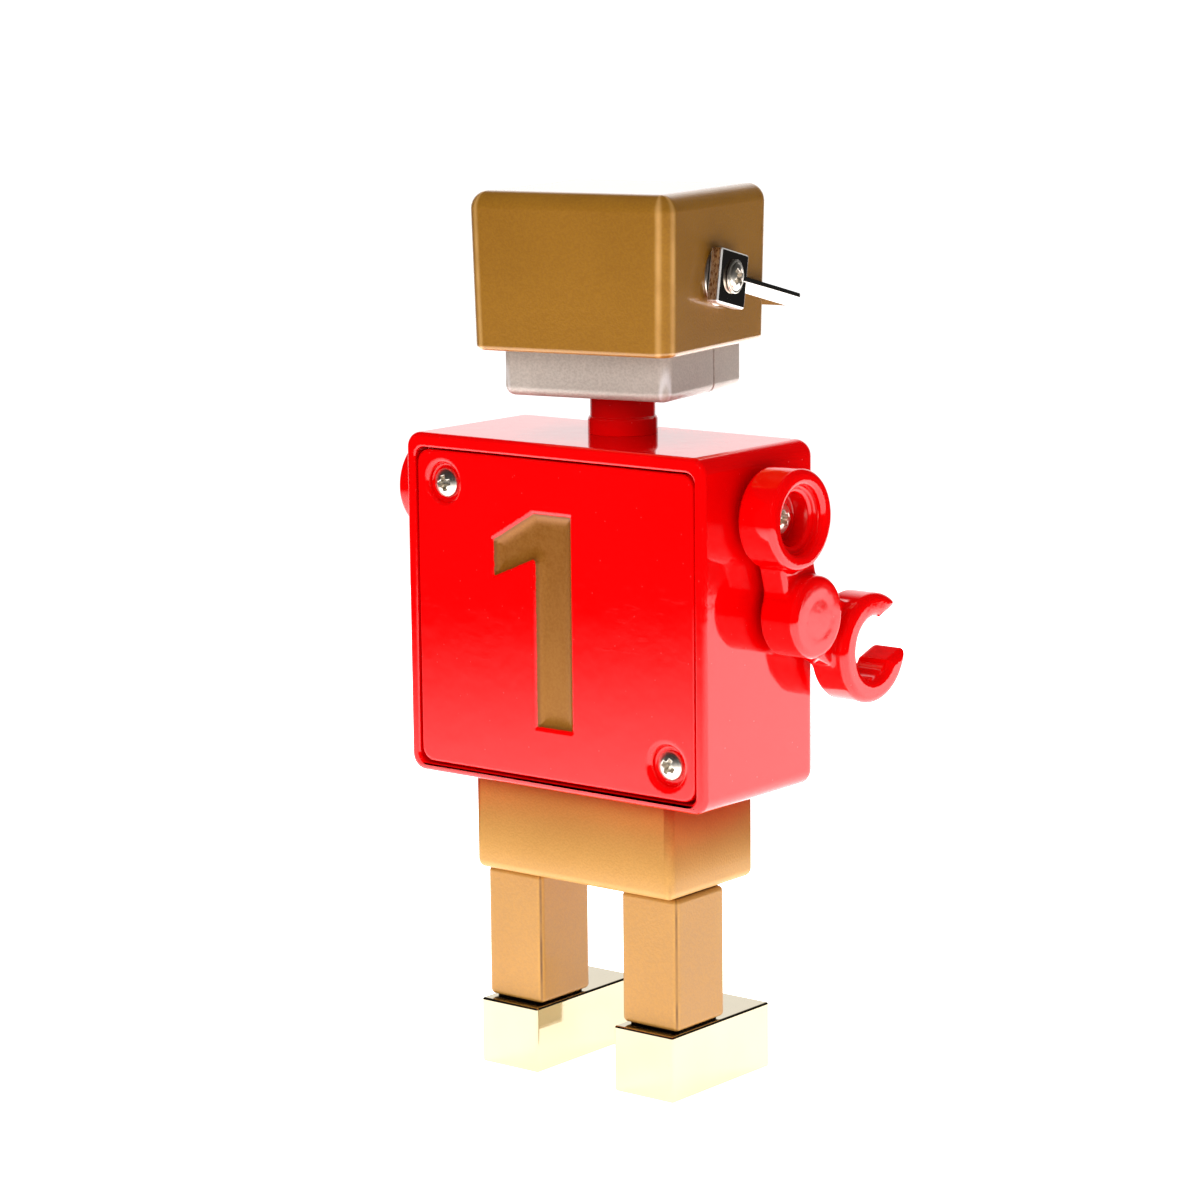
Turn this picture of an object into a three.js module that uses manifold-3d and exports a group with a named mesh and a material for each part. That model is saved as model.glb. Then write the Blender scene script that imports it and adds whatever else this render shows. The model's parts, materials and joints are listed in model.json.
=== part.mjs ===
// Toy robot with a hollow enamelled body, a numbered back cover held by two screws, a head that
// swivels on a round neck, a tilting visor, and two one-piece claw arms on shoulder screws.
// Millimetres. +Z is up, the robot faces -Y and its right hand is at -X.
// The origin is the middle of the bounding box, on the floor.
import * as THREE from 'three';
import { mergeVertices } from 'three/addons/utils/BufferGeometryUtils.js';
import Module from 'manifold-3d';

const wasm = await Module();
wasm.setup();

// Driving dimensions.
const clearance = 0.3; // left between neighbours that turn or that sit in a turned group
const screwShank = 2.2;
const screwHole = 2.8;
const backY = 21.81; // plane of the torso's back face
const neckY = backY - 18.4; // the head turns about this upright axis
const headTurn = THREE.MathUtils.degToRad(10.2);
const visorDroop = THREE.MathUtils.degToRad(-12.3);

const foot = { inner: 7.78, outer: 19.62, length: 25.78, height: 10.84, rearInset: 4.65 };
const leg = { inner: 8.2, outer: 19.47, depth: 12.67, rearInset: 6.27, bossInset: 0.8 };
const legBoltDepth = { seat: 3, intoPelvis: 9.6 };
const legBoltSeatRadius = 3.1;
const pelvis = { width: 40.04, depth: 22.05, bottomZ: 32.84, rearInset: 4.04, screwX: 6.5 };
const torso = { width: 60, depth: 29.4, bottomZ: 48.7, topZ: 104, wall: 2.5, corner: 2.7 };
const cover = { width: 55.6, height: 51, thickness: 2.6, centreZ: 75.86, corner: 2.4, inset: 0.2 };
const coverScrew = { x: 22.4, z: 20.25, boreRadius: 3.2, boreDepth: 1.4, post: 8, postRadius: 3 };
const numeral = { stemHalf: 4.05, top: 17.4, bottom: -17.6, depth: 0.9 };
const numeralFlag = { tip: 12.6, upperDrop: 5, lowerDrop: 11.9, rootDrop: 8.3 };
const neck = { radius: 5.25, collarRadius: 5.6, collarHeight: 2.8, bore: 2, pin: 3.6 };
const flange = { radius: 5.4, height: 1.6, aboveChin: 3 };
const chin = { width: 29.46, length: 26.42, bottomZ: 110.64, topZ: 118.14, centreY: -0.35 };
const chinJoint = { seamY: -3.1, halfGap: 0.1, boltX: 10.4, rearY: 8.6, frontY: -9.4 };
const chinSeat = { radius: 2.7, depth: 2.2 };
const head = { width: 35.94, length: 35.26, topZ: 143.05, wall: 2.4, corner: 2.4, centreY: 0.6 };
const ear = { y: 1.6, z: 129.56, washer: 4.6, washerThickness: 0.45 };
const earPlate = { length: 9.4, height: 8.5, thickness: 1.75, ahead: 0.5, drop: 0.2 };
const visor = { reach: 26.9, bar: 2.5, cornerRadius: 3 };
const blade = { outerTop: 0.55, outerBottom: -0.05, innerBottom: -1.45 };
const eye = { x: 7.6, z: 133.4, radius: 3.9, hole: 3 };
const shoulder = { y: backY - 14.7, z: 93.56, radius: 7.9 };
const elbow = { forward: 4.2, up: -15.7, radius: 6.5 };
const claw = { forward: 19.8, up: -22.9, radius: 8.8, bore: 5, mouthHalf: 3.85, mouthTurn: 19.5 };
const arm = { thickness: 7, webThickness: 4.8, standOff: 1, edge: 0.9 };
const armBore = { radius: 5.3, ledgeDepth: 1.7, seatRadius: 4.1, seatDepth: 5 };

const footTopZ = foot.height;
const legX = (leg.inner + leg.outer) / 2;
const legY = backY - leg.rearInset - leg.depth / 2;
const torsoY = backY - torso.depth / 2;
const torsoMidZ = (torso.bottomZ + torso.topZ) / 2;
const frontInnerY = backY - torso.depth + torso.wall;
const cavityHeight = cover.height - 2.6;
const cavityFloorZ = cover.centreZ - cavityHeight / 2;
const sideX = head.width / 2;
const earPlateX = sideX + ear.washerThickness + clearance;

function enamel(color, roughness) {
  return new THREE.MeshStandardMaterial({ color, roughness, metalness: 0 });
}

function metal(color, roughness) {
  return new THREE.MeshStandardMaterial({ color, roughness, metalness: 1 });
}

const redEnamel = () => enamel(0xe0060f, 0.14);
const goldSatin = () => metal(0xb07c30, 0.38);
const paleGold = () => metal(0xcd9b55, 0.36);
const silverSatin = () => metal(0xb9afaa, 0.36);
const chrome = () => metal(0xe2ddd2, 0.07);
const zincPlate = () => metal(0xa9a8a4, 0.3);
const darkGlass = () => enamel(0x14161a, 0.05);

// A closed geometry with its shared corners joined becomes a solid that can be cut.
function solid(geometry) {
  const bare = new THREE.BufferGeometry();
  bare.setAttribute('position', geometry.getAttribute('position'));
  if (geometry.index) bare.setIndex(geometry.index);
  const merged = mergeVertices(bare, 1e-4);
  const corners = merged.index.array;
  const triangles = [];
  for (let i = 0; i < corners.length; i += 3) {
    const [a, b, c] = corners.slice(i, i + 3);
    if (a !== b && b !== c && c !== a) triangles.push(a, b, c);
  }
  return new wasm.Manifold(new wasm.Mesh({
    numProp: 3,
    vertProperties: new Float32Array(merged.getAttribute('position').array),
    triVerts: new Uint32Array(triangles),
  }));
}

function geometryOf(body) {
  const mesh = body.getMesh();
  const geometry = new THREE.BufferGeometry();
  geometry.setAttribute('position', new THREE.BufferAttribute(mesh.vertProperties, 3));
  geometry.setIndex(new THREE.BufferAttribute(mesh.triVerts, 1));
  return geometry;
}

function mirrored(geometry) {
  const copy = geometry.clone().scale(-1, 1, 1);
  const corners = copy.index.array;
  for (let i = 0; i < corners.length; i += 3) {
    [corners[i], corners[i + 1]] = [corners[i + 1], corners[i]];
  }
  return copy;
}

function part(name, geometry, material) {
  const mesh = new THREE.Mesh(geometry, material);
  mesh.name = name;
  return mesh;
}

// Basic bodies. The extruded ones are turned so that their thickness runs along the named axis.
const turns = {
  x: new THREE.Matrix4().makeBasis(
    new THREE.Vector3(0, 1, 0), new THREE.Vector3(0, 0, 1), new THREE.Vector3(1, 0, 0)),
  y: new THREE.Matrix4().makeBasis(
    new THREE.Vector3(-1, 0, 0), new THREE.Vector3(0, 0, 1), new THREE.Vector3(0, 1, 0)),
  z: new THREE.Matrix4(),
};

function box(width, depth, height, x, y, z) {
  return solid(new THREE.BoxGeometry(width, depth, height).translate(x, y, z));
}

function rod(axis, radius, length, x, y, z, sides = 16) {
  const geometry = new THREE.CylinderGeometry(radius, radius, length, sides);
  if (axis === 'x') geometry.rotateZ(Math.PI / 2);
  if (axis === 'z') geometry.rotateX(Math.PI / 2);
  return solid(geometry.translate(x, y, z));
}

function roundedRect(width, height, radius) {
  const shape = new THREE.Shape();
  const [w, h] = [width / 2, height / 2];
  shape.moveTo(-w + radius, -h);
  shape.absarc(w - radius, -h + radius, radius, -Math.PI / 2, 0, false);
  shape.absarc(w - radius, h - radius, radius, 0, Math.PI / 2, false);
  shape.absarc(-w + radius, h - radius, radius, Math.PI / 2, Math.PI, false);
  shape.absarc(-w + radius, -h + radius, radius, Math.PI, Math.PI * 1.5, false);
  return shape;
}

// Extrusion of full thickness whose end edges are rounded inside the outline.
function slab(shape, thickness, edge, curveSegments = 2, bevelSegments = 2) {
  const geometry = new THREE.ExtrudeGeometry(shape, {
    depth: thickness - 2 * edge,
    bevelEnabled: edge > 0,
    bevelThickness: edge,
    bevelSize: edge,
    bevelOffset: -edge,
    bevelSegments,
    curveSegments,
  });
  return geometry.translate(0, 0, edge - thickness / 2);
}

function slabAlong(axis, shape, thickness, edge, x, y, z, curveSegments, bevelSegments) {
  const geometry = slab(shape, thickness, edge, curveSegments, bevelSegments);
  return solid(geometry.applyMatrix4(turns[axis]).translate(x, y, z));
}

// Pan head screw along +Z: the underside of its head is at z = 0 and its shank points down.
function panScrew(headRadius, headHeight, shankLength, sides = 12) {
  const shank = screwShank / 2;
  const points = [
    [0, -shankLength],
    [shank * 0.7, -shankLength],
    [shank, -shankLength + 0.6],
    [shank, 0],
    [headRadius, 0],
    [headRadius, headHeight * 0.45],
    [headRadius * 0.88, headHeight * 0.8],
    [headRadius * 0.6, headHeight],
    [0, headHeight],
  ].map(([r, z]) => new THREE.Vector2(r, z));
  const turned = solid(new THREE.LatheGeometry(points, sides).rotateX(Math.PI / 2));
  const slot = headRadius * 1.15;
  const depth = headHeight * 0.8;
  const cutZ = headHeight - depth / 2 + 0.05;
  const cross = box(slot, 0.8, depth, 0, 0, cutZ).add(box(0.8, slot, depth, 0, 0, cutZ));
  return geometryOf(turned.subtract(cross));
}

function hexNut(across, thickness, bore) {
  const hex = new THREE.CylinderGeometry(across / Math.sqrt(3), across / Math.sqrt(3), thickness, 6);
  return solid(hex.rotateX(Math.PI / 2)).subtract(rod('z', bore / 2, thickness + 1, 0, 0, 0));
}

function ring(outerRadius, innerRadius, thickness, sides = 24) {
  const plate = rod('z', outerRadius, thickness, 0, 0, 0, sides);
  return plate.subtract(rod('z', innerRadius, thickness + 1, 0, 0, 0, sides));
}

function footBlock(side) {
  const width = foot.outer - foot.inner;
  const y = backY - foot.rearInset - foot.length / 2;
  const outline = roundedRect(width, foot.length, 0.8);
  const block = slabAlong('z', outline, foot.height, 0.4, 0, y, foot.height / 2, 2, 1);
  const bolt = rod('z', screwHole / 2, foot.height * 3, 0, legY, 0);
  const seat = rod('z', legBoltSeatRadius, 2 * legBoltDepth.seat, 0, legY, 0);
  const mesh = part(`foot_${side.name}`, geometryOf(block.subtract(bolt).subtract(seat)), chrome());
  mesh.position.x = side.sign * legX;
  return mesh;
}

function legBlock(side) {
  const width = leg.outer - leg.inner;
  const bottomZ = footTopZ + clearance;
  const topZ = pelvis.bottomZ - clearance;
  const outline = roundedRect(width, leg.depth, 0.8);
  const block = slabAlong('z', outline, topZ - bottomZ, 0.5, 0, legY, (topZ + bottomZ) / 2, 2, 1);
  const bossWidth = width - 2 * leg.bossInset;
  const bossDepth = leg.depth - 2 * leg.bossInset;
  const bossHeight = pelvis.bottomZ - footTopZ;
  const boss = box(bossWidth, bossDepth, bossHeight, 0, legY, footTopZ + bossHeight / 2);
  const bolt = rod('z', screwHole / 2, 60, 0, legY, topZ);
  const mesh = part(`leg_${side.name}`, geometryOf(block.add(boss).subtract(bolt)), paleGold());
  mesh.position.x = side.sign * legX;
  return mesh;
}

// One long bolt from the sole holds the foot and the leg to the pelvis.
function legBolt(side) {
  const mesh = part(`leg_bolt_${side.name}`, panScrew(2.4, 1.7, 38), zincPlate());
  mesh.rotation.x = Math.PI;
  mesh.position.set(side.sign * legX, legY, legBoltDepth.seat);
  return mesh;
}

function pelvisBlock() {
  const height = torso.bottomZ - pelvis.bottomZ;
  const y = backY - pelvis.rearInset - pelvis.depth / 2;
  const outline = roundedRect(pelvis.width, pelvis.depth, 0.9);
  let block = slabAlong('z', outline, height + 3, 0.8, 0, y, pelvis.bottomZ + height / 2 + 1.5, 3, 2);
  block = block.subtract(box(80, 80, 10, 0, y, torso.bottomZ + 5));
  for (const side of sides) {
    const x = side.sign * legX;
    const screwX = side.sign * pelvis.screwX;
    const boltHole = 2 * legBoltDepth.intoPelvis;
    block = block.subtract(rod('z', screwHole / 2, boltHole, x, legY, pelvis.bottomZ));
    block = block.subtract(rod('z', screwHole / 2, 10, screwX, torsoY, torso.bottomZ));
  }
  return part('pelvis_block', geometryOf(block), paleGold());
}

function pelvisScrew(side) {
  const mesh = part(`pelvis_screw_${side.name}`, panScrew(2.4, 1.7, 7), zincPlate());
  mesh.position.set(side.sign * pelvis.screwX, torsoY, cavityFloorZ);
  return mesh;
}

// Hollow body, open at the back, with a ledge that the cover rests on and two screw posts.
function torsoShell() {
  const outline = roundedRect(torso.width, torso.topZ - torso.bottomZ, torso.corner);
  const softFront = slabAlong('y', outline, torso.depth + 6, 2.2, 0, torsoY + 3, torsoMidZ);
  const crispBack = slabAlong('y', outline, torso.depth + 6, 0.9, 0, torsoY - 3, torsoMidZ);
  let shell = softFront.intersect(crispBack);

  const opening = roundedRect(cover.width + 2 * clearance, cover.height + 2 * clearance, 1.6);
  const pocketDepth = 2 * (cover.thickness + cover.inset);
  shell = shell.subtract(slabAlong('y', opening, pocketDepth, 0, 0, backY, cover.centreZ));
  const cavity = roundedRect(torso.width - 2 * torso.wall, cavityHeight, 1.2);
  const cavityDepth = backY - frontInnerY + 1;
  const cavityY = frontInnerY + cavityDepth / 2;
  shell = shell.subtract(slabAlong('y', cavity, cavityDepth, 0, 0, cavityY, cover.centreZ));

  for (const place of coverScrewPlaces) {
    const postY = backY - cover.thickness - cover.inset - coverScrew.post / 2;
    const ribX = Math.sign(place.x) * (torso.width / 2 - torso.wall - 1.5);
    shell = shell.add(rod('y', coverScrew.postRadius, coverScrew.post, place.x, postY, place.z, 20));
    shell = shell.add(box(4, coverScrew.post, 1.8, ribX, postY, place.z));
    shell = shell.subtract(rod('y', screwHole / 2, 18, place.x, postY, place.z, 16));
  }
  shell = shell.subtract(rod('x', screwHole / 2, torso.width + 2, 0, shoulder.y, shoulder.z));
  shell = shell.subtract(rod('z', neck.pin + clearance, 12, 0, neckY, torso.topZ));
  for (const side of sides) {
    const screwX = side.sign * pelvis.screwX;
    shell = shell.subtract(rod('z', screwHole / 2, 8, screwX, torsoY, torso.bottomZ));
  }
  return part('torso_shell', geometryOf(shell), redEnamel());
}

// Outline of the numeral: an upright stem with a flag that slopes down to the left.
function numeralShape() {
  const shape = new THREE.Shape();
  shape.moveTo(-numeral.stemHalf, numeral.bottom);
  shape.lineTo(numeral.stemHalf, numeral.bottom);
  shape.lineTo(numeral.stemHalf, numeral.top);
  shape.lineTo(-numeral.stemHalf, numeral.top);
  shape.lineTo(-numeralFlag.tip, numeral.top - numeralFlag.upperDrop);
  shape.lineTo(-numeralFlag.tip, numeral.top - numeralFlag.lowerDrop);
  shape.lineTo(-numeral.stemHalf, numeral.top - numeralFlag.rootDrop);
  return shape;
}

function backCover() {
  const outline = roundedRect(cover.width, cover.height, cover.corner);
  const outerY = backY - cover.inset;
  const plateY = outerY - cover.thickness / 2;
  let plate = slabAlong('y', outline, cover.thickness, 0.4, 0, plateY, cover.centreZ, 4, 2);
  plate = plate.subtract(
    slabAlong('y', numeralShape(), 2 * numeral.depth, 0, 0, outerY, cover.centreZ));
  for (const place of coverScrewPlaces) {
    plate = plate.subtract(
      rod('y', coverScrew.boreRadius, 2 * coverScrew.boreDepth, place.x, outerY, place.z));
    plate = plate.subtract(rod('y', screwHole / 2, 12, place.x, outerY, place.z));
  }
  return part('back_cover', geometryOf(plate), redEnamel());
}

function coverScrewAt(place) {
  const mesh = part(`cover_screw_${place.name}`, panScrew(2.38, 1.3, 8, 16), chrome());
  mesh.rotation.x = -Math.PI / 2;
  mesh.position.set(place.x, backY - cover.inset - coverScrew.boreDepth, place.z);
  return mesh;
}

// Turned neck: it bolts through the torso's roof, and its top flange is caught inside the chin.
function neckTube() {
  const shoulderZ = chin.bottomZ - clearance;
  const flangeZ = chin.bottomZ + flange.aboveChin;
  const profile = [
    [neck.bore, torso.topZ - 9],
    [neck.pin, torso.topZ - 9],
    [neck.pin, torso.topZ],
    [neck.collarRadius, torso.topZ],
    [neck.collarRadius, torso.topZ + neck.collarHeight - 0.4],
    [neck.radius, torso.topZ + neck.collarHeight],
    [neck.radius, shoulderZ],
    [neck.pin, shoulderZ],
    [neck.pin, flangeZ],
    [flange.radius, flangeZ],
    [flange.radius, flangeZ + flange.height],
    [neck.bore, flangeZ + flange.height],
    [neck.bore, torso.topZ - 9],
  ].map(([r, z]) => new THREE.Vector2(r, z));
  const tube = solid(new THREE.LatheGeometry(profile, 24).rotateX(Math.PI / 2));
  const mesh = part('neck_tube', geometryOf(tube), redEnamel());
  mesh.position.y = neckY;
  return mesh;
}

function neckNut() {
  const thickness = 3;
  const nut = geometryOf(hexNut(11, thickness, 2 * (neck.pin + 0.1)));
  const mesh = part('neck_nut', nut, zincPlate());
  mesh.position.set(0, neckY, cavityFloorZ + cavityHeight - thickness / 2);
  return mesh;
}

// The chin is a block split across the neck. Both halves close round the neck's flange.
function chinHalf(name, isRear) {
  const height = chin.topZ - chin.bottomZ;
  const y = chin.centreY;
  const outline = roundedRect(chin.width, chin.length, 1.4);
  const midZ = chin.bottomZ + height / 2 + 1;
  let block = slabAlong('z', outline, height + 2, 1.1, 0, y, midZ, 3, 2);
  block = block.subtract(box(60, 60, 10, 0, y, chin.topZ + 5 - 0.02));
  block = block.subtract(rod('z', neck.pin + clearance, 40, 0, 0, chin.bottomZ, 24));
  const flangeMidZ = chin.bottomZ + flange.aboveChin + flange.height / 2;
  block = block.subtract(rod('z', flange.radius + clearance, flange.height + 0.8, 0, 0, flangeMidZ, 24));
  for (const bolt of chinBolts) {
    block = block.subtract(rod('z', screwHole / 2, 40, bolt.x, bolt.y, chin.bottomZ, 16));
    block = block.subtract(rod('z', chinSeat.radius, 2 * chinSeat.depth, bolt.x, bolt.y, chin.bottomZ, 16));
  }
  const awayDepth = 40;
  const awaySign = isRear ? -1 : 1;
  const awayY = chinJoint.seamY + awaySign * (awayDepth / 2 - chinJoint.halfGap);
  const away = box(80, awayDepth, 40, 0, awayY, chin.bottomZ);
  return part(name, geometryOf(block.subtract(away)), silverSatin());
}

function chinScrew(bolt) {
  const mesh = part(`chin_screw_${bolt.name}`, panScrew(2.3, 1.4, 6.8), zincPlate());
  mesh.rotation.x = Math.PI;
  mesh.position.set(bolt.x, bolt.y, chin.bottomZ + chinSeat.depth - 0.1);
  return mesh;
}

// Hollow head with a floor. The floor's round hole clears the neck, the side holes take the ears.
function headShell() {
  const height = head.topZ - chin.topZ;
  const midZ = (head.topZ + chin.topZ) / 2;
  const outline = roundedRect(head.width, head.length, head.corner);
  const softTop = slabAlong('z', outline, height + 6, 2, 0, head.centreY, midZ - 3);
  const crispFoot = slabAlong('z', outline, height + 6, 0.5, 0, head.centreY, midZ + 3, 2, 1);
  let shell = softTop.intersect(crispFoot);

  const hollow = roundedRect(head.width - 2 * head.wall, head.length - 2 * head.wall, 1);
  const hollowHeight = height - 2 * head.wall;
  shell = shell.subtract(slabAlong('z', hollow, hollowHeight, 0.6, 0, head.centreY, midZ, 1, 1));
  shell = shell.subtract(rod('z', 6.4, 12, 0, 0, chin.topZ, 32));
  for (const side of sides) {
    const bossX = side.sign * (sideX - head.wall - 1.2);
    shell = shell.add(rod('x', 3.2, 3.4, bossX, ear.y, ear.z, 20));
    shell = shell.subtract(rod('x', screwHole / 2, 16, side.sign * sideX, ear.y, ear.z, 16));
    const faceY = head.centreY - head.length / 2;
    shell = shell.subtract(rod('y', eye.hole, 12, side.sign * eye.x, faceY, eye.z, 20));
  }
  for (const bolt of chinBolts) {
    shell = shell.subtract(rod('z', screwHole / 2, 10, bolt.x, bolt.y, chin.topZ, 16));
  }
  return part('head_shell', geometryOf(shell), goldSatin());
}

function eyeBezel(side) {
  const profile = [[2.2, 2.2], [2.7, 2.2], [2.7, -clearance], [eye.radius, -clearance],
    [eye.radius, -1.1], [eye.radius - 0.5, -1.6], [2.9, -1.6], [2.2, -0.6], [2.2, 2.2]];
  const points = profile.reverse().map(([r, y]) => new THREE.Vector2(r, y));
  const bezel = geometryOf(solid(new THREE.LatheGeometry(points, 20)));
  const mesh = part(`eye_bezel_${side.name}`, bezel, chrome());
  mesh.position.set(side.sign * eye.x, head.centreY - head.length / 2, eye.z);
  return mesh;
}

function eyeLens(side) {
  const points = [[0, 2.1], [1.95, 2.1], [1.95, -0.4], [1.5, -0.8], [0.8, -1.05], [0, -1.15]];
  const profile = points.map(([r, y]) => new THREE.Vector2(r, y));
  const lens = geometryOf(solid(new THREE.LatheGeometry(profile.reverse(), 16)));
  const mesh = part(`eye_lens_${side.name}`, lens, darkGlass());
  mesh.position.set(side.sign * eye.x, head.centreY - head.length / 2, eye.z);
  return mesh;
}

function earWasher(side) {
  const washer = ring(ear.washer, screwHole / 2, ear.washerThickness).rotate([0, 90, 0]);
  const mesh = part(`ear_washer_${side.name}`, geometryOf(washer), chrome());
  mesh.position.set(side.sign * (sideX + 0.05 + ear.washerThickness / 2), ear.y, ear.z);
  return mesh;
}

function earScrew(side) {
  const mesh = part(`ear_screw_${side.name}`, panScrew(2.7, 1.1, 7.6, 16), chrome());
  mesh.rotation.y = side.sign * Math.PI / 2;
  mesh.position.set(side.sign * (earPlateX + earPlate.thickness + 0.05), ear.y, ear.z);
  return mesh;
}

// One band across the face with a square plate at each ear. Its underside slopes inwards.
// It is drawn level about the ear axis, and the visor's group gives it its droop.
function visorBand() {
  const outerX = earPlateX + earPlate.thickness;
  const innerX = sideX + clearance;
  const plateOutline = roundedRect(earPlate.length, earPlate.height, 0.5);
  const plateY = -earPlate.ahead;
  const plateZ = -earPlate.drop;
  const frontY = -visor.reach;
  let band = null;
  for (const side of sides) {
    const plateX = side.sign * (outerX - earPlate.thickness / 2);
    const plate = slabAlong('x', plateOutline, earPlate.thickness, 0.3, plateX, plateY, plateZ, 2, 1);
    const armY = frontY / 2 - 1;
    const section = new THREE.Shape();
    section.moveTo(outerX, blade.outerBottom);
    section.lineTo(outerX, blade.outerTop);
    section.lineTo(innerX, blade.outerTop);
    section.lineTo(innerX, blade.innerBottom);
    const length = -frontY - 2;
    const bar = new THREE.ExtrudeGeometry(section, { depth: length, bevelEnabled: false });
    bar.rotateX(Math.PI / 2).translate(0, armY + length / 2, 0);
    const armBody = solid(bar);
    const placed = side.sign > 0 ? armBody : solid(mirrored(geometryOf(armBody)));
    const both = plate.add(placed);
    band = band ? band.add(both) : both;
  }
  const cross = new THREE.Shape();
  cross.moveTo(frontY, blade.outerBottom);
  cross.lineTo(frontY + visor.bar, blade.innerBottom);
  cross.lineTo(frontY + visor.bar, blade.outerTop);
  cross.lineTo(frontY, blade.outerTop);
  const crossBar = new THREE.ExtrudeGeometry(cross, { depth: 2 * outerX, bevelEnabled: false });
  crossBar.translate(0, 0, -outerX).applyMatrix4(turns.x);
  band = band.add(solid(crossBar));

  const trim = roundedRect(2 * outerX, 2 * visor.reach, visor.cornerRadius);
  band = band.intersect(slabAlong('z', trim, 20, 0, 0, 0, 0, 5));
  for (const side of sides) {
    const hollowX = side.sign * (earPlateX - 1);
    band = band.subtract(rod('x', ear.washer + clearance, 2, hollowX, 0, 0, 28));
    band = band.subtract(rod('x', screwHole / 2, 8, side.sign * outerX, 0, 0, 20));
  }
  return part('visor_band', geometryOf(band), chrome());
}

function disc(radius, thickness, edge, forward, up, sides) {
  const shape = new THREE.Shape();
  shape.absarc(forward, up, radius, 0, Math.PI * 2, false);
  const geometry = slab(shape, thickness, edge, sides, 2).translate(0, 0, thickness / 2);
  return solid(geometry);
}

// Flat link between two arm discs, set back from their outer faces.
function web(from, to, halfWidthFrom, halfWidthTo) {
  const along = new THREE.Vector2(to.forward - from.forward, to.up - from.up);
  const across = new THREE.Vector2(-along.y, along.x).normalize();
  const corner = (centre, half) => [centre.forward + across.x * half, centre.up + across.y * half];
  const shape = new THREE.Shape();
  shape.moveTo(...corner(from, -halfWidthFrom));
  shape.lineTo(...corner(to, -halfWidthTo));
  shape.lineTo(...corner(to, halfWidthTo));
  shape.lineTo(...corner(from, halfWidthFrom));
  const geometry = slab(shape, arm.webThickness, 0.6, 1, 1);
  return solid(geometry.translate(0, 0, arm.webThickness / 2));
}

// Open jaw: a disc with a round grip and a straight mouth that points forward and up.
function clawBody() {
  const mid = arm.thickness / 2;
  const turn = THREE.MathUtils.degToRad(claw.mouthTurn);
  const mouth = new THREE.BoxGeometry(12, 2 * claw.mouthHalf, arm.thickness + 1);
  mouth.translate(6, 0, 0).rotateZ(turn).translate(claw.forward, claw.up, mid);
  const grip = rod('z', claw.bore, arm.thickness + 1, claw.forward, claw.up, mid, 28);
  const jaw = disc(claw.radius, arm.thickness, arm.edge, claw.forward, claw.up, 16);
  return jaw.subtract(grip).subtract(solid(mouth));
}

// The arm is drawn flat, forward and up from the shoulder, with its thickness facing outwards.
function armBody() {
  const start = { forward: 0, up: 0 };
  const gripEdge = { forward: claw.forward - 6.4, up: claw.up + 2.95 };
  let body = disc(shoulder.radius, arm.thickness, arm.edge, 0, 0, 16);
  body = body.add(disc(elbow.radius, arm.thickness, arm.edge, elbow.forward, elbow.up, 14));
  body = body.add(web(start, elbow, 4.1, 4.1)).add(web(elbow, gripEdge, 5, 5.2)).add(clawBody());
  const zTop = arm.thickness;
  body = body.subtract(rod('z', armBore.radius, 2 * armBore.ledgeDepth, 0, 0, zTop, 28));
  body = body.subtract(rod('z', armBore.seatRadius, 2 * armBore.seatDepth, 0, 0, zTop, 24));
  return body.subtract(rod('z', screwHole / 2, 30, 0, 0, zTop, 16));
}

function armPart(side) {
  const outwards = new THREE.Matrix4().makeBasis(
    new THREE.Vector3(0, -1, 0), new THREE.Vector3(0, 0, 1), new THREE.Vector3(-1, 0, 0));
  const right = geometryOf(armBody()).applyMatrix4(outwards);
  const geometry = side.sign < 0 ? right : mirrored(right);
  const mesh = part(`arm_${side.name}`, geometry, redEnamel());
  mesh.position.set(side.sign * (torso.width / 2 + arm.standOff), shoulder.y, shoulder.z);
  return mesh;
}

function shoulderWasher(side) {
  const thickness = arm.standOff - clearance;
  const washer = ring(4.6, screwHole / 2, thickness).rotate([0, 90, 0]);
  const mesh = part(`shoulder_washer_${side.name}`, geometryOf(washer), zincPlate());
  mesh.position.set(side.sign * (torso.width / 2 + thickness / 2), shoulder.y, shoulder.z);
  return mesh;
}

function shoulderScrew(side) {
  const seatX = torso.width / 2 + arm.standOff + arm.thickness - armBore.seatDepth;
  const mesh = part(`shoulder_screw_${side.name}`, panScrew(2.25, 1.6, 9.5), chrome());
  mesh.rotation.y = side.sign * Math.PI / 2;
  mesh.position.set(side.sign * (seatX + 0.05), shoulder.y, shoulder.z);
  return mesh;
}

function shoulderNut(side) {
  const thickness = 2.4;
  const nut = hexNut(5.5, thickness, screwShank + 0.16).rotate([0, 90, 0]);
  const mesh = part(`shoulder_nut_${side.name}`, geometryOf(nut), zincPlate());
  const x = torso.width / 2 - torso.wall - thickness / 2;
  mesh.position.set(side.sign * x, shoulder.y, shoulder.z);
  return mesh;
}

const sides = [{ name: 'right', sign: -1 }, { name: 'left', sign: 1 }];
const coverScrewPlaces = [
  { name: 'upper', x: coverScrew.x, z: cover.centreZ + coverScrew.z },
  { name: 'lower', x: -coverScrew.x, z: cover.centreZ - coverScrew.z },
];
const chinBolts = [
  { name: 'rear_right', x: -chinJoint.boltX, y: chinJoint.rearY },
  { name: 'rear_left', x: chinJoint.boltX, y: chinJoint.rearY },
  { name: 'front_right', x: -chinJoint.boltX, y: chinJoint.frontY },
  { name: 'front_left', x: chinJoint.boltX, y: chinJoint.frontY },
];

const robot = new THREE.Group();
robot.add(torsoShell(), backCover(), neckTube(), neckNut(), pelvisBlock());
robot.add(...coverScrewPlaces.map(coverScrewAt));
for (const side of sides) {
  robot.add(footBlock(side), legBlock(side), legBolt(side), pelvisScrew(side), armPart(side));
  robot.add(shoulderWasher(side), shoulderScrew(side), shoulderNut(side));
}

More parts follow.
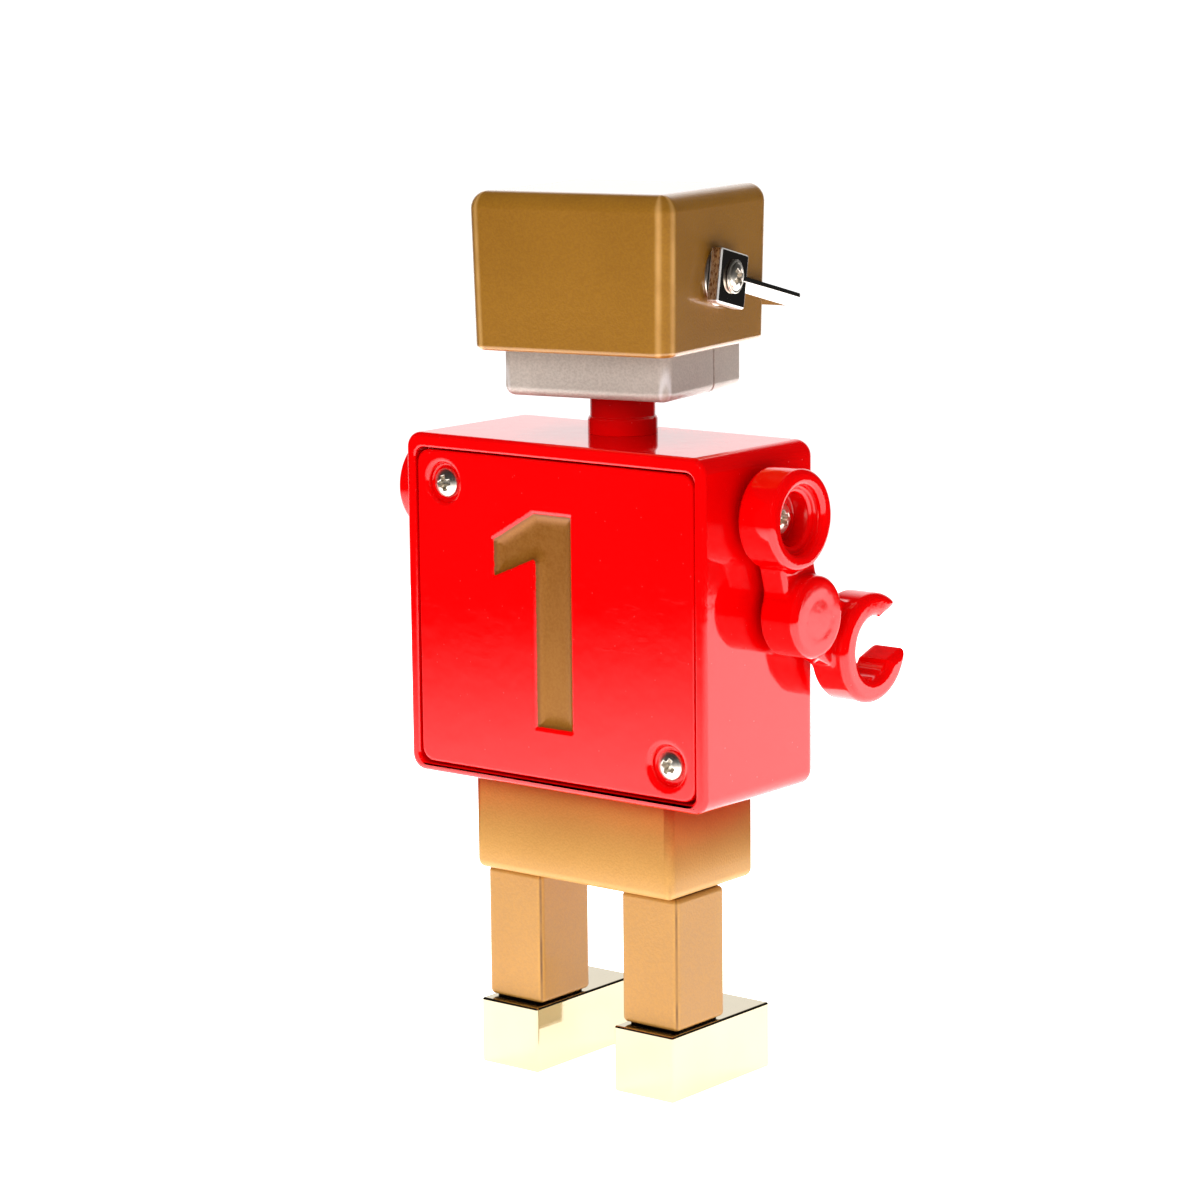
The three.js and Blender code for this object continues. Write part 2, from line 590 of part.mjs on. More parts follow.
const headGroup = new THREE.Group();
headGroup.position.y = neckY;
headGroup.rotation.z = headTurn;
headGroup.add(headShell(), chinHalf('chin_rear', true), chinHalf('chin_front', false));
headGroup.add(...chinBolts.map(chinScrew));
for (const side of sides) {
  headGroup.add(eyeBezel(side), eyeLens(side), earWasher(side), earScrew(side));
}

const visorGroup = new THREE.Group();
visorGroup.position.set(0, ear.y, ear.z);
visorGroup.rotation.x = -visorDroop;
visorGroup.add(visorBand());
headGroup.add(visorGroup);
robot.add(headGroup);

export default robot;
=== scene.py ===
import json
import math

import bmesh
import bpy
import numpy as np
from mathutils import Matrix, Vector


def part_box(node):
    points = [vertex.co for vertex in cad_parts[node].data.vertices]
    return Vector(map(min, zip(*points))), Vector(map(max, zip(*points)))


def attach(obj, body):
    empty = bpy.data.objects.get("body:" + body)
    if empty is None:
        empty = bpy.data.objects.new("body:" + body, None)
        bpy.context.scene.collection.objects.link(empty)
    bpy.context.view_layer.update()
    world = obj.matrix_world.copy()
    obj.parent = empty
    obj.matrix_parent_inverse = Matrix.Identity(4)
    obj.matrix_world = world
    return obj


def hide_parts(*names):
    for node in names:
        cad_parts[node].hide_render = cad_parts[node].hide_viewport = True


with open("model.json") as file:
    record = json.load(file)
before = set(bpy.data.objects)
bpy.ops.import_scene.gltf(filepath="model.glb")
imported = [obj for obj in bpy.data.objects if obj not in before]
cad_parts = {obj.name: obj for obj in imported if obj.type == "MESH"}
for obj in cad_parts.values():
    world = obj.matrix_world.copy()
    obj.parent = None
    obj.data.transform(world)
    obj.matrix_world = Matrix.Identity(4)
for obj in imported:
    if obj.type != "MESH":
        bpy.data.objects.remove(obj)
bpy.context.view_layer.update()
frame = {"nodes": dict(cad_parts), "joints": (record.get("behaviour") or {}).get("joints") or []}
mm = 0.001
joints = {joint["name"]: joint for joint in frame["joints"]}
print("frame loaded:", len(frame["nodes"]), "nodes")

viewpoint = {"aim": (-0.1, 9.8, 77.8), "azimuth": 218.79, "elevation": 9.91, "roll": -0.6,
             "distance": 610.3, "lens": 115.1, "sensor": 36}


def directionTo(azimuth, elevation):
    # from the object towards a viewer or a lamp, with azimuth 0 in front of the robot
    a, e = math.radians(azimuth), math.radians(elevation)
    return Vector((math.sin(a) * math.cos(e), -math.cos(a) * math.cos(e), math.sin(e)))


def makeCamera():
    back = directionTo(viewpoint["azimuth"], viewpoint["elevation"])
    roll = math.radians(viewpoint["roll"])
    level = Vector((0, 0, 1)).cross(back).normalized()
    upright = back.cross(level)
    right = level * math.cos(roll) + upright * math.sin(roll)
    up = back.cross(right)
    data = bpy.data.cameras.new("camera")
    data.lens = viewpoint["lens"]
    data.sensor_width = viewpoint["sensor"]
    data.clip_start, data.clip_end = 0.01, 50
    camera = bpy.data.objects.new("camera", data)
    spot = (Vector(viewpoint["aim"]) + back * viewpoint["distance"]) * mm
    camera.matrix_world = Matrix.Translation(spot) @ Matrix((right, up, back)).transposed().to_4x4()
    bpy.context.scene.collection.objects.link(camera)
    bpy.context.scene.camera = camera


makeCamera()
print("camera placed")


class Wire:  # a socket that can be used in ordinary arithmetic
    def __init__(self, shader, socket):
        self.shader = shader
        self.socket = socket

    def math(self, operation, first, second):
        return self.shader.add("Math", {"operation": operation}, {0: first, 1: second})

    def __add__(self, other):
        return self.math("ADD", self, other)

    def __radd__(self, other):
        return self.math("ADD", other, self)

    def __sub__(self, other):
        return self.math("SUBTRACT", self, other)

    def __rsub__(self, other):
        return self.math("SUBTRACT", other, self)

    def __mul__(self, other):
        return self.math("MULTIPLY", self, other)

    def __rmul__(self, other):
        return self.math("MULTIPLY", other, self)

    def ramp(self, low, high):  # 0 below low, 1 above high, smooth between
        settings = {"interpolation_type": "SMOOTHSTEP"}
        return self.shader.add("MapRange", settings, {0: self, 1: low, 2: high})


class Shader:  # one node tree, filled through its add method
    def __init__(self, name, tree=None):
        if tree is None:
            self.material = bpy.data.materials.new(name)
            self.material.use_nodes = True
            tree = self.material.node_tree
        self.tree = tree
        tree.nodes.clear()

    def add(self, kind, settings=None, sockets=None, output=0):
        node = self.tree.nodes.new("ShaderNode" + kind)
        for key, value in (settings or {}).items():
            setattr(node, key, value)
        for key, value in (sockets or {}).items():
            if isinstance(value, Wire):
                self.tree.links.new(value.socket, node.inputs[key])
            else:
                node.inputs[key].default_value = value
        return Wire(self, node.outputs[output] if node.outputs else None)

    def blend(self, factor, first, second):
        return self.add("Mix", {"data_type": "RGBA"}, {0: factor, 6: first, 7: second}, output=2)

    def place(self, stretch=(1, 1, 1)):
        spot = self.add("TexCoord", output=3)
        return self.add("Mapping", None, {"Vector": spot, "Scale": stretch})

    def noise(self, spot, scale, detail=2.0, roughness=0.5):
        sockets = {"Vector": spot, "Scale": scale, "Detail": detail, "Roughness": roughness}
        return self.add("TexNoise", None, sockets)

    def specks(self, spot, scale, size):  # small round dots, 1 at their middles
        cells = self.add("TexVoronoi", None, {"Vector": spot, "Scale": scale})
        return 1 - cells.ramp(size * 0.5, size)

    def value(self, name):  # a number kept on the mesh's own points
        return self.add("Attribute", {"attribute_name": name}, output=2)

    def bump(self, height, strength, distance):
        return self.add("Bump", None, {"Height": height, "Strength": strength, "Distance": distance})

    def finish(self, sockets):
        surface = self.add("BsdfPrincipled", None, sockets)
        self.add("OutputMaterial", None, {"Surface": surface})
        return self.material


# Sizes from here on are in millimetres, and they become metres when a mesh is made.
def box(node):
    low, high = (Vector(corner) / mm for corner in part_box(node))
    return low, high, (low + high) / 2, (high - low) / 2


def middleOf(node):
    return box(node)[2]


def extent(node, towards):
    # how far the node reaches from its box's middle along a direction
    middle = middleOf(node) * mm
    return max((vertex.co - middle).dot(towards) for vertex in frame["nodes"][node].data.vertices) / mm


def meshObject(name, vertices, faces, material, place=None, normals=None, values=None):
    mesh = bpy.data.meshes.new(name)
    turned = np.array(place or Matrix.Identity(4))
    spots = np.asarray(vertices, float) * mm @ turned[:3, :3].T + turned[:3, 3]
    if np.linalg.det(turned[:3, :3]) < 0:  # a mirrored piece keeps its faces pointing out
        faces = [tuple(face)[::-1] for face in faces]
    mesh.from_pydata([tuple(spot) for spot in spots], [], [tuple(face) for face in faces])
    mesh.materials.append(material)
    mesh.shade_smooth()
    for key, numbers in (values or {}).items():
        layer = mesh.attributes.new(key, "FLOAT", "POINT")
        layer.data.foreach_set("value", np.asarray(numbers, np.float32))
    if normals is not None:
        turnedNormals = normals @ turned[:3, :3].T
        mesh.normals_split_custom_set_from_vertices([tuple(normal) for normal in turnedNormals])
    piece = bpy.data.objects.new(name, mesh)
    bpy.context.scene.collection.objects.link(piece)
    return piece


def flattenFaces(piece):
    flatten = piece.modifiers.new("flat faces", "WEIGHTED_NORMAL")
    flatten.weight = 100


def faceOut(piece):
    shape = bmesh.new()
    shape.from_mesh(piece.data)
    bmesh.ops.recalc_face_normals(shape, faces=shape.faces)
    shape.to_mesh(piece.data)
    shape.free()
    flattenFaces(piece)
    return piece


def carve(piece, cutters, bevel=0.0):
    # cuts bodies out of a piece for good, then softens the sharp rims that are left
    piece.modifiers.clear()
    for cutter in cutters:
        cutter.modifiers.clear()
        cut = piece.modifiers.new("cut", "BOOLEAN")
        cut.operation, cut.solver, cut.object = "DIFFERENCE", "EXACT", cutter
    if bevel:
        soften = piece.modifiers.new("soften", "BEVEL")
        soften.width, soften.segments = bevel * mm, 4
        soften.limit_method, soften.angle_limit = "ANGLE", math.radians(50)
    flattenFaces(piece)
    bpy.context.view_layer.update()
    done = piece.evaluated_get(bpy.context.evaluated_depsgraph_get())
    mesh = bpy.data.meshes.new_from_object(done)
    piece.modifiers.clear()
    piece.data = mesh
    for cutter in cutters:
        bpy.data.objects.remove(cutter)


def fit(piece, body, slot, *nodes):
    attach(piece, body)
    if nodes:
        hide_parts(*nodes)


cornerPoints = 9  # along each rounded corner of a ring


def roundedLoop(halfX, halfY, radius):
    steps = cornerPoints - 1
    points = []
    for quarter in range(4):
        signX, signY = ((1, 1), (-1, 1), (-1, -1), (1, -1))[quarter]
        for step in range(steps + 1):
            angle = (quarter + step / steps) * math.pi / 2
            points.append((signX * (halfX - radius) + radius * math.cos(angle),
                           signY * (halfY - radius) + radius * math.sin(angle)))
    return points


# A ring is (height, half width, half depth, corner radius), and the rings are joined in order. It may
# go on with how worn and lit its edge is, for wear and a painted highlight, and how far it lies in painted
# shade.
def quarterRings(height, halfX, halfY, corner, edge, rising, steps=7):
    rings = []
    for step in range(steps + 1):
        angle = step / steps * math.pi / 2
        if not rising:
            angle = math.pi / 2 - angle
        inset = edge * (1 - math.sin(angle))
        shift = edge * (1 - math.cos(angle))
        level = height + shift if rising else height - shift
        # 1 in the middle of the rounded edge, which wear and a painted highlight lighten
        wornAndLit = 1 - abs(2 * step / steps - 1)
        rings.append((level, halfX - inset, halfY - inset, max(corner - inset, 0.05), wornAndLit))
    return rings


def boxRings(low, high, halfX, halfY, corner, edgeLow, edgeHigh, taper=0.0):
    # taper is how much narrower each side is at the low end
    rings = quarterRings(low, halfX - taper, halfY - taper, corner, edgeLow, True)
    return rings + quarterRings(high, halfX, halfY, corner, edgeHigh, False)


axisTurns = {
    "z": Matrix.Identity(4),
    "y": Matrix(((1, 0, 0, 0), (0, 0, 1, 0), (0, 1, 0, 0), (0, 0, 0, 1))),  # ring in x and z
    "x": Matrix(((0, 0, 1, 0), (1, 0, 0, 0), (0, 1, 0, 0), (0, 0, 0, 1))),  # ring in y and z
}


def loft(name, rings, material, axis="z", centre=(0, 0, 0), place=None):
    vertices = []
    values = {"edge": [], "shade": [], "wall": [], "corner": []}
    widest = max(ring[1] for ring in rings)
    for ring in rings:
        height, halfX, halfY, corner, edge, shade = (*ring, 0, 0)[:6]
        loop = roundedLoop(halfX, halfY, corner)
        count = len(loop)
        vertices += [(x, y, height) for x, y in loop]
        values["edge"] += [edge] * count
        values["shade"] += [shade] * count
        values["wall"] += [1.0 if halfX > widest - 0.01 else 0.0] * count
        bend = 0 if ring in (rings[0], rings[-1]) else math.pi / (cornerPoints - 1)  # plain end faces
        values["corner"] += [math.sin(bend * (k % cornerPoints)) for k in range(count)]
    faces = []
    for level in range(len(rings) - 1):
        start, end = level * count, (level + 1) * count
        for k in range(count):
            after = (k + 1) % count
            faces.append((start + k, start + after, end + after, end + k))
    faces += [tuple(range(count))[::-1], tuple(range(len(vertices) - count, len(vertices)))]
    turned = Matrix.Translation(Vector(centre) * mm) @ axisTurns[axis]
    place = (place or Matrix.Identity(4)) @ turned
    return faceOut(meshObject(name, vertices, faces, material, place, values=values))


def turn(name, profile, material, place, steps=72):
    # profile is a closed loop of (radius, height) round the z axis
    angles = [k / steps * 2 * math.pi for k in range(steps)]
    vertices = [(r * math.cos(a), r * math.sin(a), z) for a in angles for r, z in profile]
    count = len(profile)
    faces = []
    for k in range(steps):
        here, after = k * count, (k + 1) % steps * count
        for j in range(count):
            above = (j + 1) % count
            faces.append((here + j, here + above, after + above, after + j))
    shape = meshObject(name, vertices, faces, material, place)
    work = bmesh.new()
    work.from_mesh(shape.data)
    bmesh.ops.remove_doubles(work, verts=work.verts, dist=1e-7)
    work.to_mesh(shape.data)
    work.free()
    return faceOut(shape)


def drill(name, radius, low, high, material, place):
    # a round body to cut a hole with
    return turn(name, [(0, low), (radius, low), (radius, high), (0, high)], material, place, 48)


def softCorner(points, radius, steps):
    # rounds each corner of a closed outline with a short curve
    result = []
    count = len(points)
    for k, here in enumerate(points):
        here = Vector(here)
        before, after = Vector(points[k - 1]), Vector(points[(k + 1) % count])
        reach = min(radius, (before - here).length * 0.45, (after - here).length * 0.45)
        start = here + (before - here).normalized() * reach
        end = here + (after - here).normalized() * reach
        for step in range(steps + 1):
            t = step / steps
            result.append(tuple(start * (1 - t) ** 2 + here * 2 * t * (1 - t) + end * t ** 2))
    return result


# Some shapes are described by a distance, which is negative inside the piece.
def softMin(a, b, reach):
    mix = np.clip(0.5 + 0.5 * (b - a) / reach, 0, 1)
    return b * (1 - mix) + a * mix - reach * mix * (1 - mix)


def softMax(a, b, reach):
    return -softMin(-a, -b, reach)


def thick(outline, height, low, high, edge):
    # an outline given a thickness, with its rims rounded by edge
    across = outline + edge
    along = np.abs(height - (low + high) / 2) - (high - low) / 2 + edge
    outside = np.sqrt(np.maximum(across, 0) ** 2 + np.maximum(along, 0) ** 2)
    return np.minimum(np.maximum(across, along), 0) + outside - edge


def discAt(p, x, y, radius):
    return np.hypot(p[..., 0] - x, p[..., 1] - y) - radius


def plateAt(p, halfX, halfY, corner):
    x = np.abs(p[..., 0]) - halfX + corner
    y = np.abs(p[..., 1]) - halfY + corner
    return np.hypot(np.maximum(x, 0), np.maximum(y, 0)) + np.minimum(np.maximum(x, y), 0) - corner


def barAt(p, start, end, halfStart, halfEnd):
    line = np.array(end) - np.array(start)
    rest = p[..., :2] - np.array(start)
    along = np.clip((rest @ line) / (line @ line), 0, 1)
    gap = rest - along[..., None] * line
    return np.hypot(gap[..., 0], gap[..., 1]) - (halfStart + (halfEnd - halfStart) * along)


def outlineDistance(p, points):
    nearest = np.full(p.shape[:-1], np.inf)
    winding = np.ones(p.shape[:-1])
    for k, a in enumerate(points):
        b = points[k - 1]
        edgeX, edgeY = b[0] - a[0], b[1] - a[1]
        x, y = p[..., 0] - a[0], p[..., 1] - a[1]
        t = np.clip((x * edgeX + y * edgeY) / (edgeX ** 2 + edgeY ** 2), 0, 1)
        nearest = np.minimum(nearest, (x - t * edgeX) ** 2 + (y - t * edgeY) ** 2)
        above, below = p[..., 1] >= a[1], p[..., 1] < b[1]
        left = edgeX * y > edgeY * x
        crosses = (above & below & left) | (~above & ~below & ~left)
        winding = np.where(crosses, -winding, winding)
    return winding * np.sqrt(nearest)


def slopeOf(distance, points, reach=0.01):
    slope = np.empty_like(points)
    for axis in range(3):
        shift = np.zeros(3)
        shift[axis] = reach
        slope[:, axis] = (distance(points + shift) - distance(points - shift)) / (2 * reach)
    return slope


def skin(distance, low, high, step, relax=3):
    # quads over the surface where the distance is zero, and the surface's own normals
    axes = [np.arange(a - 2.03 * step, b + 2.5 * step, step) for a, b in zip(low, high)]
    inside = distance(np.stack(np.meshgrid(*axes, indexing="ij"), -1)) < 0
    size = np.array(inside.shape) - 1
    corners = sum(inside[i:size[0] + i, j:size[1] + j, k:size[2] + k].astype(int)
                  for i in (0, 1) for j in (0, 1) for k in (0, 1))
    cells = np.argwhere((corners > 0) & (corners < 8))
    number = np.full(corners.shape, -1)
    number[tuple(cells.T)] = np.arange(len(cells))
    points = np.stack([axes[k][cells[:, k]] + step / 2 for k in range(3)], -1)
    faces = []
    for axis in range(3):
        sideways = np.eye(3, dtype=int)[(axis + 1) % 3]
        upwards = np.eye(3, dtype=int)[(axis + 2) % 3]
        starts = np.argwhere(np.diff(inside, axis=axis))
        quad = np.stack([number[tuple((starts - a * sideways - b * upwards).T)]
                         for a, b in ((1, 1), (0, 1), (0, 0), (1, 0))], 1)
        turned = ~inside[tuple(starts.T)]
        quad[turned] = quad[turned][:, ::-1]
        faces.append(quad)
    faces = np.concatenate(faces)
    ends = np.concatenate([faces, np.roll(faces, -1, 1)]).reshape(-1)
    others = np.concatenate([np.roll(faces, -1, 1), faces]).reshape(-1)
    share = np.bincount(ends, minlength=len(points))[:, None]
    for turnNumber in range(relax + 1):
        if turnNumber:  # even out the quads, then go back to the surface
            pull = np.zeros_like(points)
            np.add.at(pull, ends, points[others])
            points = 0.4 * points + 0.6 * pull / share
        for _ in range(4):
            slope = slopeOf(distance, points)
            steep = np.maximum((slope ** 2).sum(1), 0.05)
            away = np.clip(distance(points) / steep, -step, step)
            points = points - away[:, None] * slope
    normals = slopeOf(distance, points, 0.03)
    normals /= np.maximum(np.linalg.norm(normals, axis=1), 1e-6)[:, None]
    return points, faces, normals


def skinned(name, distance, low, high, step, material, place, values=None):
    points, faces, normals = skin(distance, low, high, step)
    extra = {key: measure(points) for key, measure in (values or {}).items()}
    return meshObject(name, points, faces, material, place, normals, extra)


soft = (0.3, 0.7)  # the ramp that spreads a noise over its whole range

redLook = {"deep": (0.62, 0.0, 0.0003), "fresh": (0.70, 0.0002, 0.0006), "driftScale": 38, "roughness": 0.06,
           "hairlineStretch": (1, 14, 5), "hairlineScale": 260, "hairlineBand": (0.60, 0.74),
           "scratches": 0.04, "dustScale": 520, "dustSize": 0.10, "dustDull": 0.25,
           "peelScale": 300, "peel": 0.04, "peelDepth": 0.0004}


def redBase(shader, paintedLight=1.0):
    # colour, roughness and relief of moulded red enamel
    look = redLook
    spot = shader.place()
    # a factor above 1 scales the red up for a lighter copy of the enamel: painted light
    deep, fresh = [(red * paintedLight, green, blue, 1) for red, green, blue in (look["deep"], look["fresh"])]
    drift = shader.noise(spot, look["driftScale"], 3)
    colour = shader.blend(drift.ramp(0.35, 0.65), deep, fresh)
    streaks = shader.noise(shader.place(look["hairlineStretch"]), look["hairlineScale"], 4, 0.65)
    hairlines = streaks.ramp(*look["hairlineBand"])
    dust = shader.specks(spot, look["dustScale"], look["dustSize"])
    roughness = look["roughness"] + look["scratches"] * hairlines + look["dustDull"] * dust
    peel = shader.noise(spot, look["peelScale"], 2)
    relief = shader.bump(peel + 0.15 * hairlines, look["peel"], look["peelDepth"])
    return colour, roughness, relief


def redEnamel(name, paintedLight=1.0):
    shader = Shader(name)
    colour, roughness, relief = redBase(shader, paintedLight)
    return shader.finish({"Base Color": colour, "Roughness": roughness, "Normal": relief, "IOR": 1.5})


def metalFlakes(shader, spot):
    return shader.noise(spot, 2600, 2).ramp(*soft)


# the worn gold is the paler gold, used for wear and for the painted light low on the numeral
numeralPaint = {"gold": (0.22, 0.070, 0.003, 1), "wornAndLit": (0.33, 0.135, 0.018, 1),
                "rim": (0.12, 0.028, 0.002, 1), "rimBand": (-1.1, -0.5), "rimShade": 0.55,
                "edge": -0.42, "softness": 0.16, "wobble": 0.22, "paleFrom": 0.058, "paleTo": 0.090,
                "metallic": 0.35, "dull": 0.22, "flakeDull": 0.12}


def paintedCover():
    # the cover's enamel with gold paint inside the sunk numeral, painted paler low down and darker at its
    # edge as painted light and shade
    look = numeralPaint
    shader = Shader("painted cover")
    colour, roughness, relief = redBase(shader)
    spot = shader.place()
    inwards = shader.value("numeral")
    wobble = (shader.noise(spot, 900, 3) - 0.5) * look["wobble"]
    painted = 1 - (inwards + wobble).ramp(look["edge"] - look["softness"], look["edge"])
    flakes = metalFlakes(shader, spot)
    brushed = shader.noise(shader.place((1, 1, 0.15)), 420, 3)
    # painted light: the gold turns paler towards the bottom of the numeral
    high = shader.add("SeparateXYZ", None, {0: spot}, output=2)
    fade = 1 - high.ramp(look["paleFrom"], look["paleTo"])
    gold = shader.blend(flakes * 0.3 + brushed * 0.35 + fade * 0.45 - 0.1, look["gold"], look["wornAndLit"])
    # painted shade: the gold darkens near the edge of the sunk numeral
    gold = shader.blend(inwards.ramp(*look["rimBand"]) * look["rimShade"], gold, look["rim"])
    return shader.finish({"Base Color": shader.blend(painted, colour, gold),
                          "Roughness": roughness + painted * (look["dull"] + look["flakeDull"] * flakes),
                          "Metallic": painted * look["metallic"], "Normal": relief, "IOR": 1.5})


# Edge shine lightens edges, partly as rubbed wear and partly as a painted highlight. A thin dark line down
# a corner is painted shade, and sheen is a painted highlight in pale bands on both sides of a corner.
plainPaint = {"metallic": 0.15, "roughness": 0.55, "lacquer": 0.15, "edgeShine": 0.35,
              "cornerShade": 0.0, "cornerShadeTone": (0.13, 0.05, 0.006, 1), "shadeTone": (0.02, 0.008, 0.003, 1),
              "sheen": 0.0, "sheenTone": (0.80, 0.45, 0.15, 1)}
goldPaint = {"dark": (0.28, 0.115, 0.006, 1), "light": (0.39, 0.170, 0.012, 1), "metallic": 0.35,
             "roughness": 0.42, "lacquer": 1.0, "sheen": 0.62}
# the hip and leg paints are one pale gold, the hips' copy lighter and the legs' darker: painted light and
# shade
hipPaint = {"dark": (0.45, 0.222, 0.048, 1), "light": (0.57, 0.300, 0.075, 1), "edgeShine": 0.5,
            "cornerShade": 0.25}
legPaint = {"dark": (0.37, 0.175, 0.034, 1), "light": (0.48, 0.240, 0.050, 1), "edgeShine": 0.5,
            "cornerShade": 0.65}
silverPaint = {"dark": (0.38, 0.32, 0.275, 1), "light": (0.56, 0.48, 0.42, 1), "metallic": 0.3,
               "roughness": 0.42, "sheen": 0.6, "sheenTone": (0.78, 0.74, 0.74, 1)}


def metallicPaint(name, paint):
    # sprayed paint with fine flakes, soft clouds and a thin lacquer, and painted highlights and shade on its
    # edges and corners
    look = {**plainPaint, **paint}
    shader = Shader(name)
    spot = shader.place()
    flakes = metalFlakes(shader, spot)
    clouds = shader.noise(spot, 45, 3).ramp(*soft)
    peel = shader.noise(spot, 900, 2)
    wornAndLit = shader.noise(spot, 160, 3).ramp(*soft)
    marks = shader.specks(spot, 260, 0.07)
    corner = shader.value("corner")
    # edges and corners lightened: rubbed wear and a painted highlight
    rubbedAndLit = (shader.value("edge") + corner.ramp(0.05, 0.75)) * look["edgeShine"] * wornAndLit
    # painted shade: a thin dark line down the middle of each corner
    cornerShade = corner.ramp(0.84, 1.0) * (0.5 + wornAndLit) * look["cornerShade"]
    # painted highlight: pale bands on both sides of each corner
    sheenBands = corner.ramp(0.2, 0.65) * (1 - corner.ramp(0.68, 0.98)) * (0.6 + 0.4 * wornAndLit)
    colour = shader.blend(flakes * 0.5 + clouds * 0.3 + rubbedAndLit, look["dark"], look["light"])
    colour = shader.blend(cornerShade, colour, look["cornerShadeTone"])
    colour = shader.blend(sheenBands * look["sheen"], colour, look["sheenTone"])
    # painted shade: points marked as lying in shade turn almost black
    colour = shader.blend(shader.value("shade"), colour, look["shadeTone"])
    roughness = look["roughness"] + 0.10 * (flakes - 0.5) - 0.08 * rubbedAndLit + 0.12 * marks
    return shader.finish({"Base Color": colour, "Roughness": roughness,
                          "Metallic": look["metallic"] + 0.1 * (flakes - 0.5),
                          "Normal": shader.bump(flakes + 0.7 * peel, 0.10, 0.0002),
                          "Coat Weight": look["lacquer"], "Coat Roughness": 0.12})


chromeLook = {"wipeStretch": (1, 1, 6), "wipeScale": 210, "wipes": 0.07, "smearScale": 70,
              "smearShade": 0.93, "waveScale": 150, "waves": 0.05, "waveDepth": 0.0004,
              "pitScale": 700, "pitSize": 0.09, "pits": 0.2}


def mirrorChrome(name, tint, roughness=0.05):
    # bright plate with wiping marks and a faint waviness
    look = chromeLook
    shader = Shader(name)
    spot = shader.place()
    wipes = shader.noise(shader.place(look["wipeStretch"]), look["wipeScale"], 4, 0.6).ramp(0.45, 0.8)
    smear = shader.noise(spot, look["smearScale"], 3)
    waves = shader.noise(spot, look["waveScale"], 1)
    pits = shader.specks(spot, look["pitScale"], look["pitSize"])
    smeared = tuple(channel * look["smearShade"] for channel in tint)
    return shader.finish({"Base Color": shader.blend(smear.ramp(*soft), (*tint, 1), (*smeared, 1)),
                          "Roughness": roughness + look["wipes"] * wipes + look["pits"] * pits,
                          "Metallic": 1.0, "Normal": shader.bump(waves, look["waves"], look["waveDepth"])})


plateLook = {"face": (0.60, 0.54, 0.49, 1), "sawnDark": (0.36, 0.22, 0.16, 1),
             "sawnLight": (1.0, 0.90, 0.84, 1), "bevel": (0.98, 0.95, 0.90, 1),
             "sawnStretch": (1, 1, 0.35), "sawnScale": 2900}


def cutPlate():
    # plated sheet: mirror faces, sawn and mottled narrow sides, and bright bevels that are partly rubbed wear
    # and partly a painted highlight
    look = plateLook
    shader = Shader("ear plate chrome")
    sawn = shader.noise(shader.place(look["sawnStretch"]), look["sawnScale"], 4, 0.7).ramp(0.34, 0.58)
    wipes = shader.noise(shader.place(), 320, 4).ramp(0.45, 0.8)
    wall = shader.value("wall").ramp(0.9, 1)
    rubbedAndLit = shader.value("edge").ramp(0.1, 0.7)
    mottled = shader.blend(sawn, look["sawnDark"], look["sawnLight"])
    colour = shader.blend(wall, look["face"], mottled)
    # bevels turn near white: rubbed wear and a painted highlight
    colour = shader.blend(rubbedAndLit, colour, look["bevel"])
    return shader.finish({"Base Color": colour,
                          "Roughness": 0.05 + 0.05 * wipes + 0.3 * wall + 0.35 * rubbedAndLit,
                          "Metallic": 1 - 0.35 * rubbedAndLit, "Normal": shader.bump(sawn * wall, 0.3, 0.0001)})


screwLook = {"recessShade": (0.10, 0.075, 0.055, 1), "recessShadeBand": (-0.05, 0.35), "markScale": 1500,
             "roughness": 0.24}


def screwPlate(name, tint):
    # plated screw: turned marks on the head, and painted shade that darkens the metal down in the cross
    look = screwLook
    shader = Shader(name)
    recessShade = (shader.value("recess") * -1).ramp(*look["recessShadeBand"])
    marks = shader.noise(shader.place(), look["markScale"], 3)
    # painted shade deep in the cross, and slightly darker along the turned marks
    return shader.finish({"Base Color": shader.blend(recessShade * 0.75 + 0.2 * marks, (*tint, 1), look["recessShade"]),
                          "Roughness": look["roughness"] + 0.2 * marks + 0.2 * recessShade,
                          "Metallic": 1.0, "Normal": shader.bump(marks, 0.2, 0.0001)})


lensLook = {"dark": (0.012, 0.013, 0.018, 1), "haze": (0.03, 0.03, 0.04, 1), "hazeScale": 350}


def smokedLens():
    shader = Shader("smoked lens")
    haze = shader.noise(shader.place(), lensLook["hazeScale"], 3)
    return shader.finish({"Base Color": shader.blend(haze, lensLook["dark"], lensLook["haze"]),
                          "Roughness": 0.04 + 0.08 * haze, "IOR": 1.52, "Coat Weight": 1.0})


finishes = {
    "red": redEnamel("red enamel"),
    # the neck gets a lighter copy of the red enamel, painted light for a part in the head's shade
    "neck": redEnamel("neck enamel painted lighter", 1.05),
    "cover": paintedCover(),
    "gold": metallicPaint("gold paint", goldPaint),
    # lighter and darker copies of one pale gold: painted light and shade
    "hipGold": metallicPaint("pale gold lit copy for hips", hipPaint),
    "legGold": metallicPaint("pale gold shaded copy for legs", legPaint),
    "silver": metallicPaint("silver paint", silverPaint),
    "chrome": mirrorChrome("chrome", (0.72, 0.67, 0.61)),
    "washer": mirrorChrome("washer plate", (0.86, 0.80, 0.72), 0.30),
    # the feet's chrome is a darker, warmer copy of the chrome: painted shade that dims its reflections
    "footPlate": mirrorChrome("foot chrome shaded copy", (0.50, 0.43, 0.29)),
    "earPlate": cutPlate(),
    "screw": screwPlate("bright screw", (0.92, 0.85, 0.74)),
    "zinc": screwPlate("zinc screw", (0.55, 0.53, 0.50)),
    "lens": smokedLens(),
}
print("finishes made:", len(finishes))

torsoShape = {"corner": 2.6, "frontEdge": 2.3, "backEdge": 0.95, "rimEdge": 0.45, "pocket": 2.85,
              "openingHalf": (28.1, 25.8), "openingCorner": 1.7, "openingEdge": 0.2, "overrun": 5}


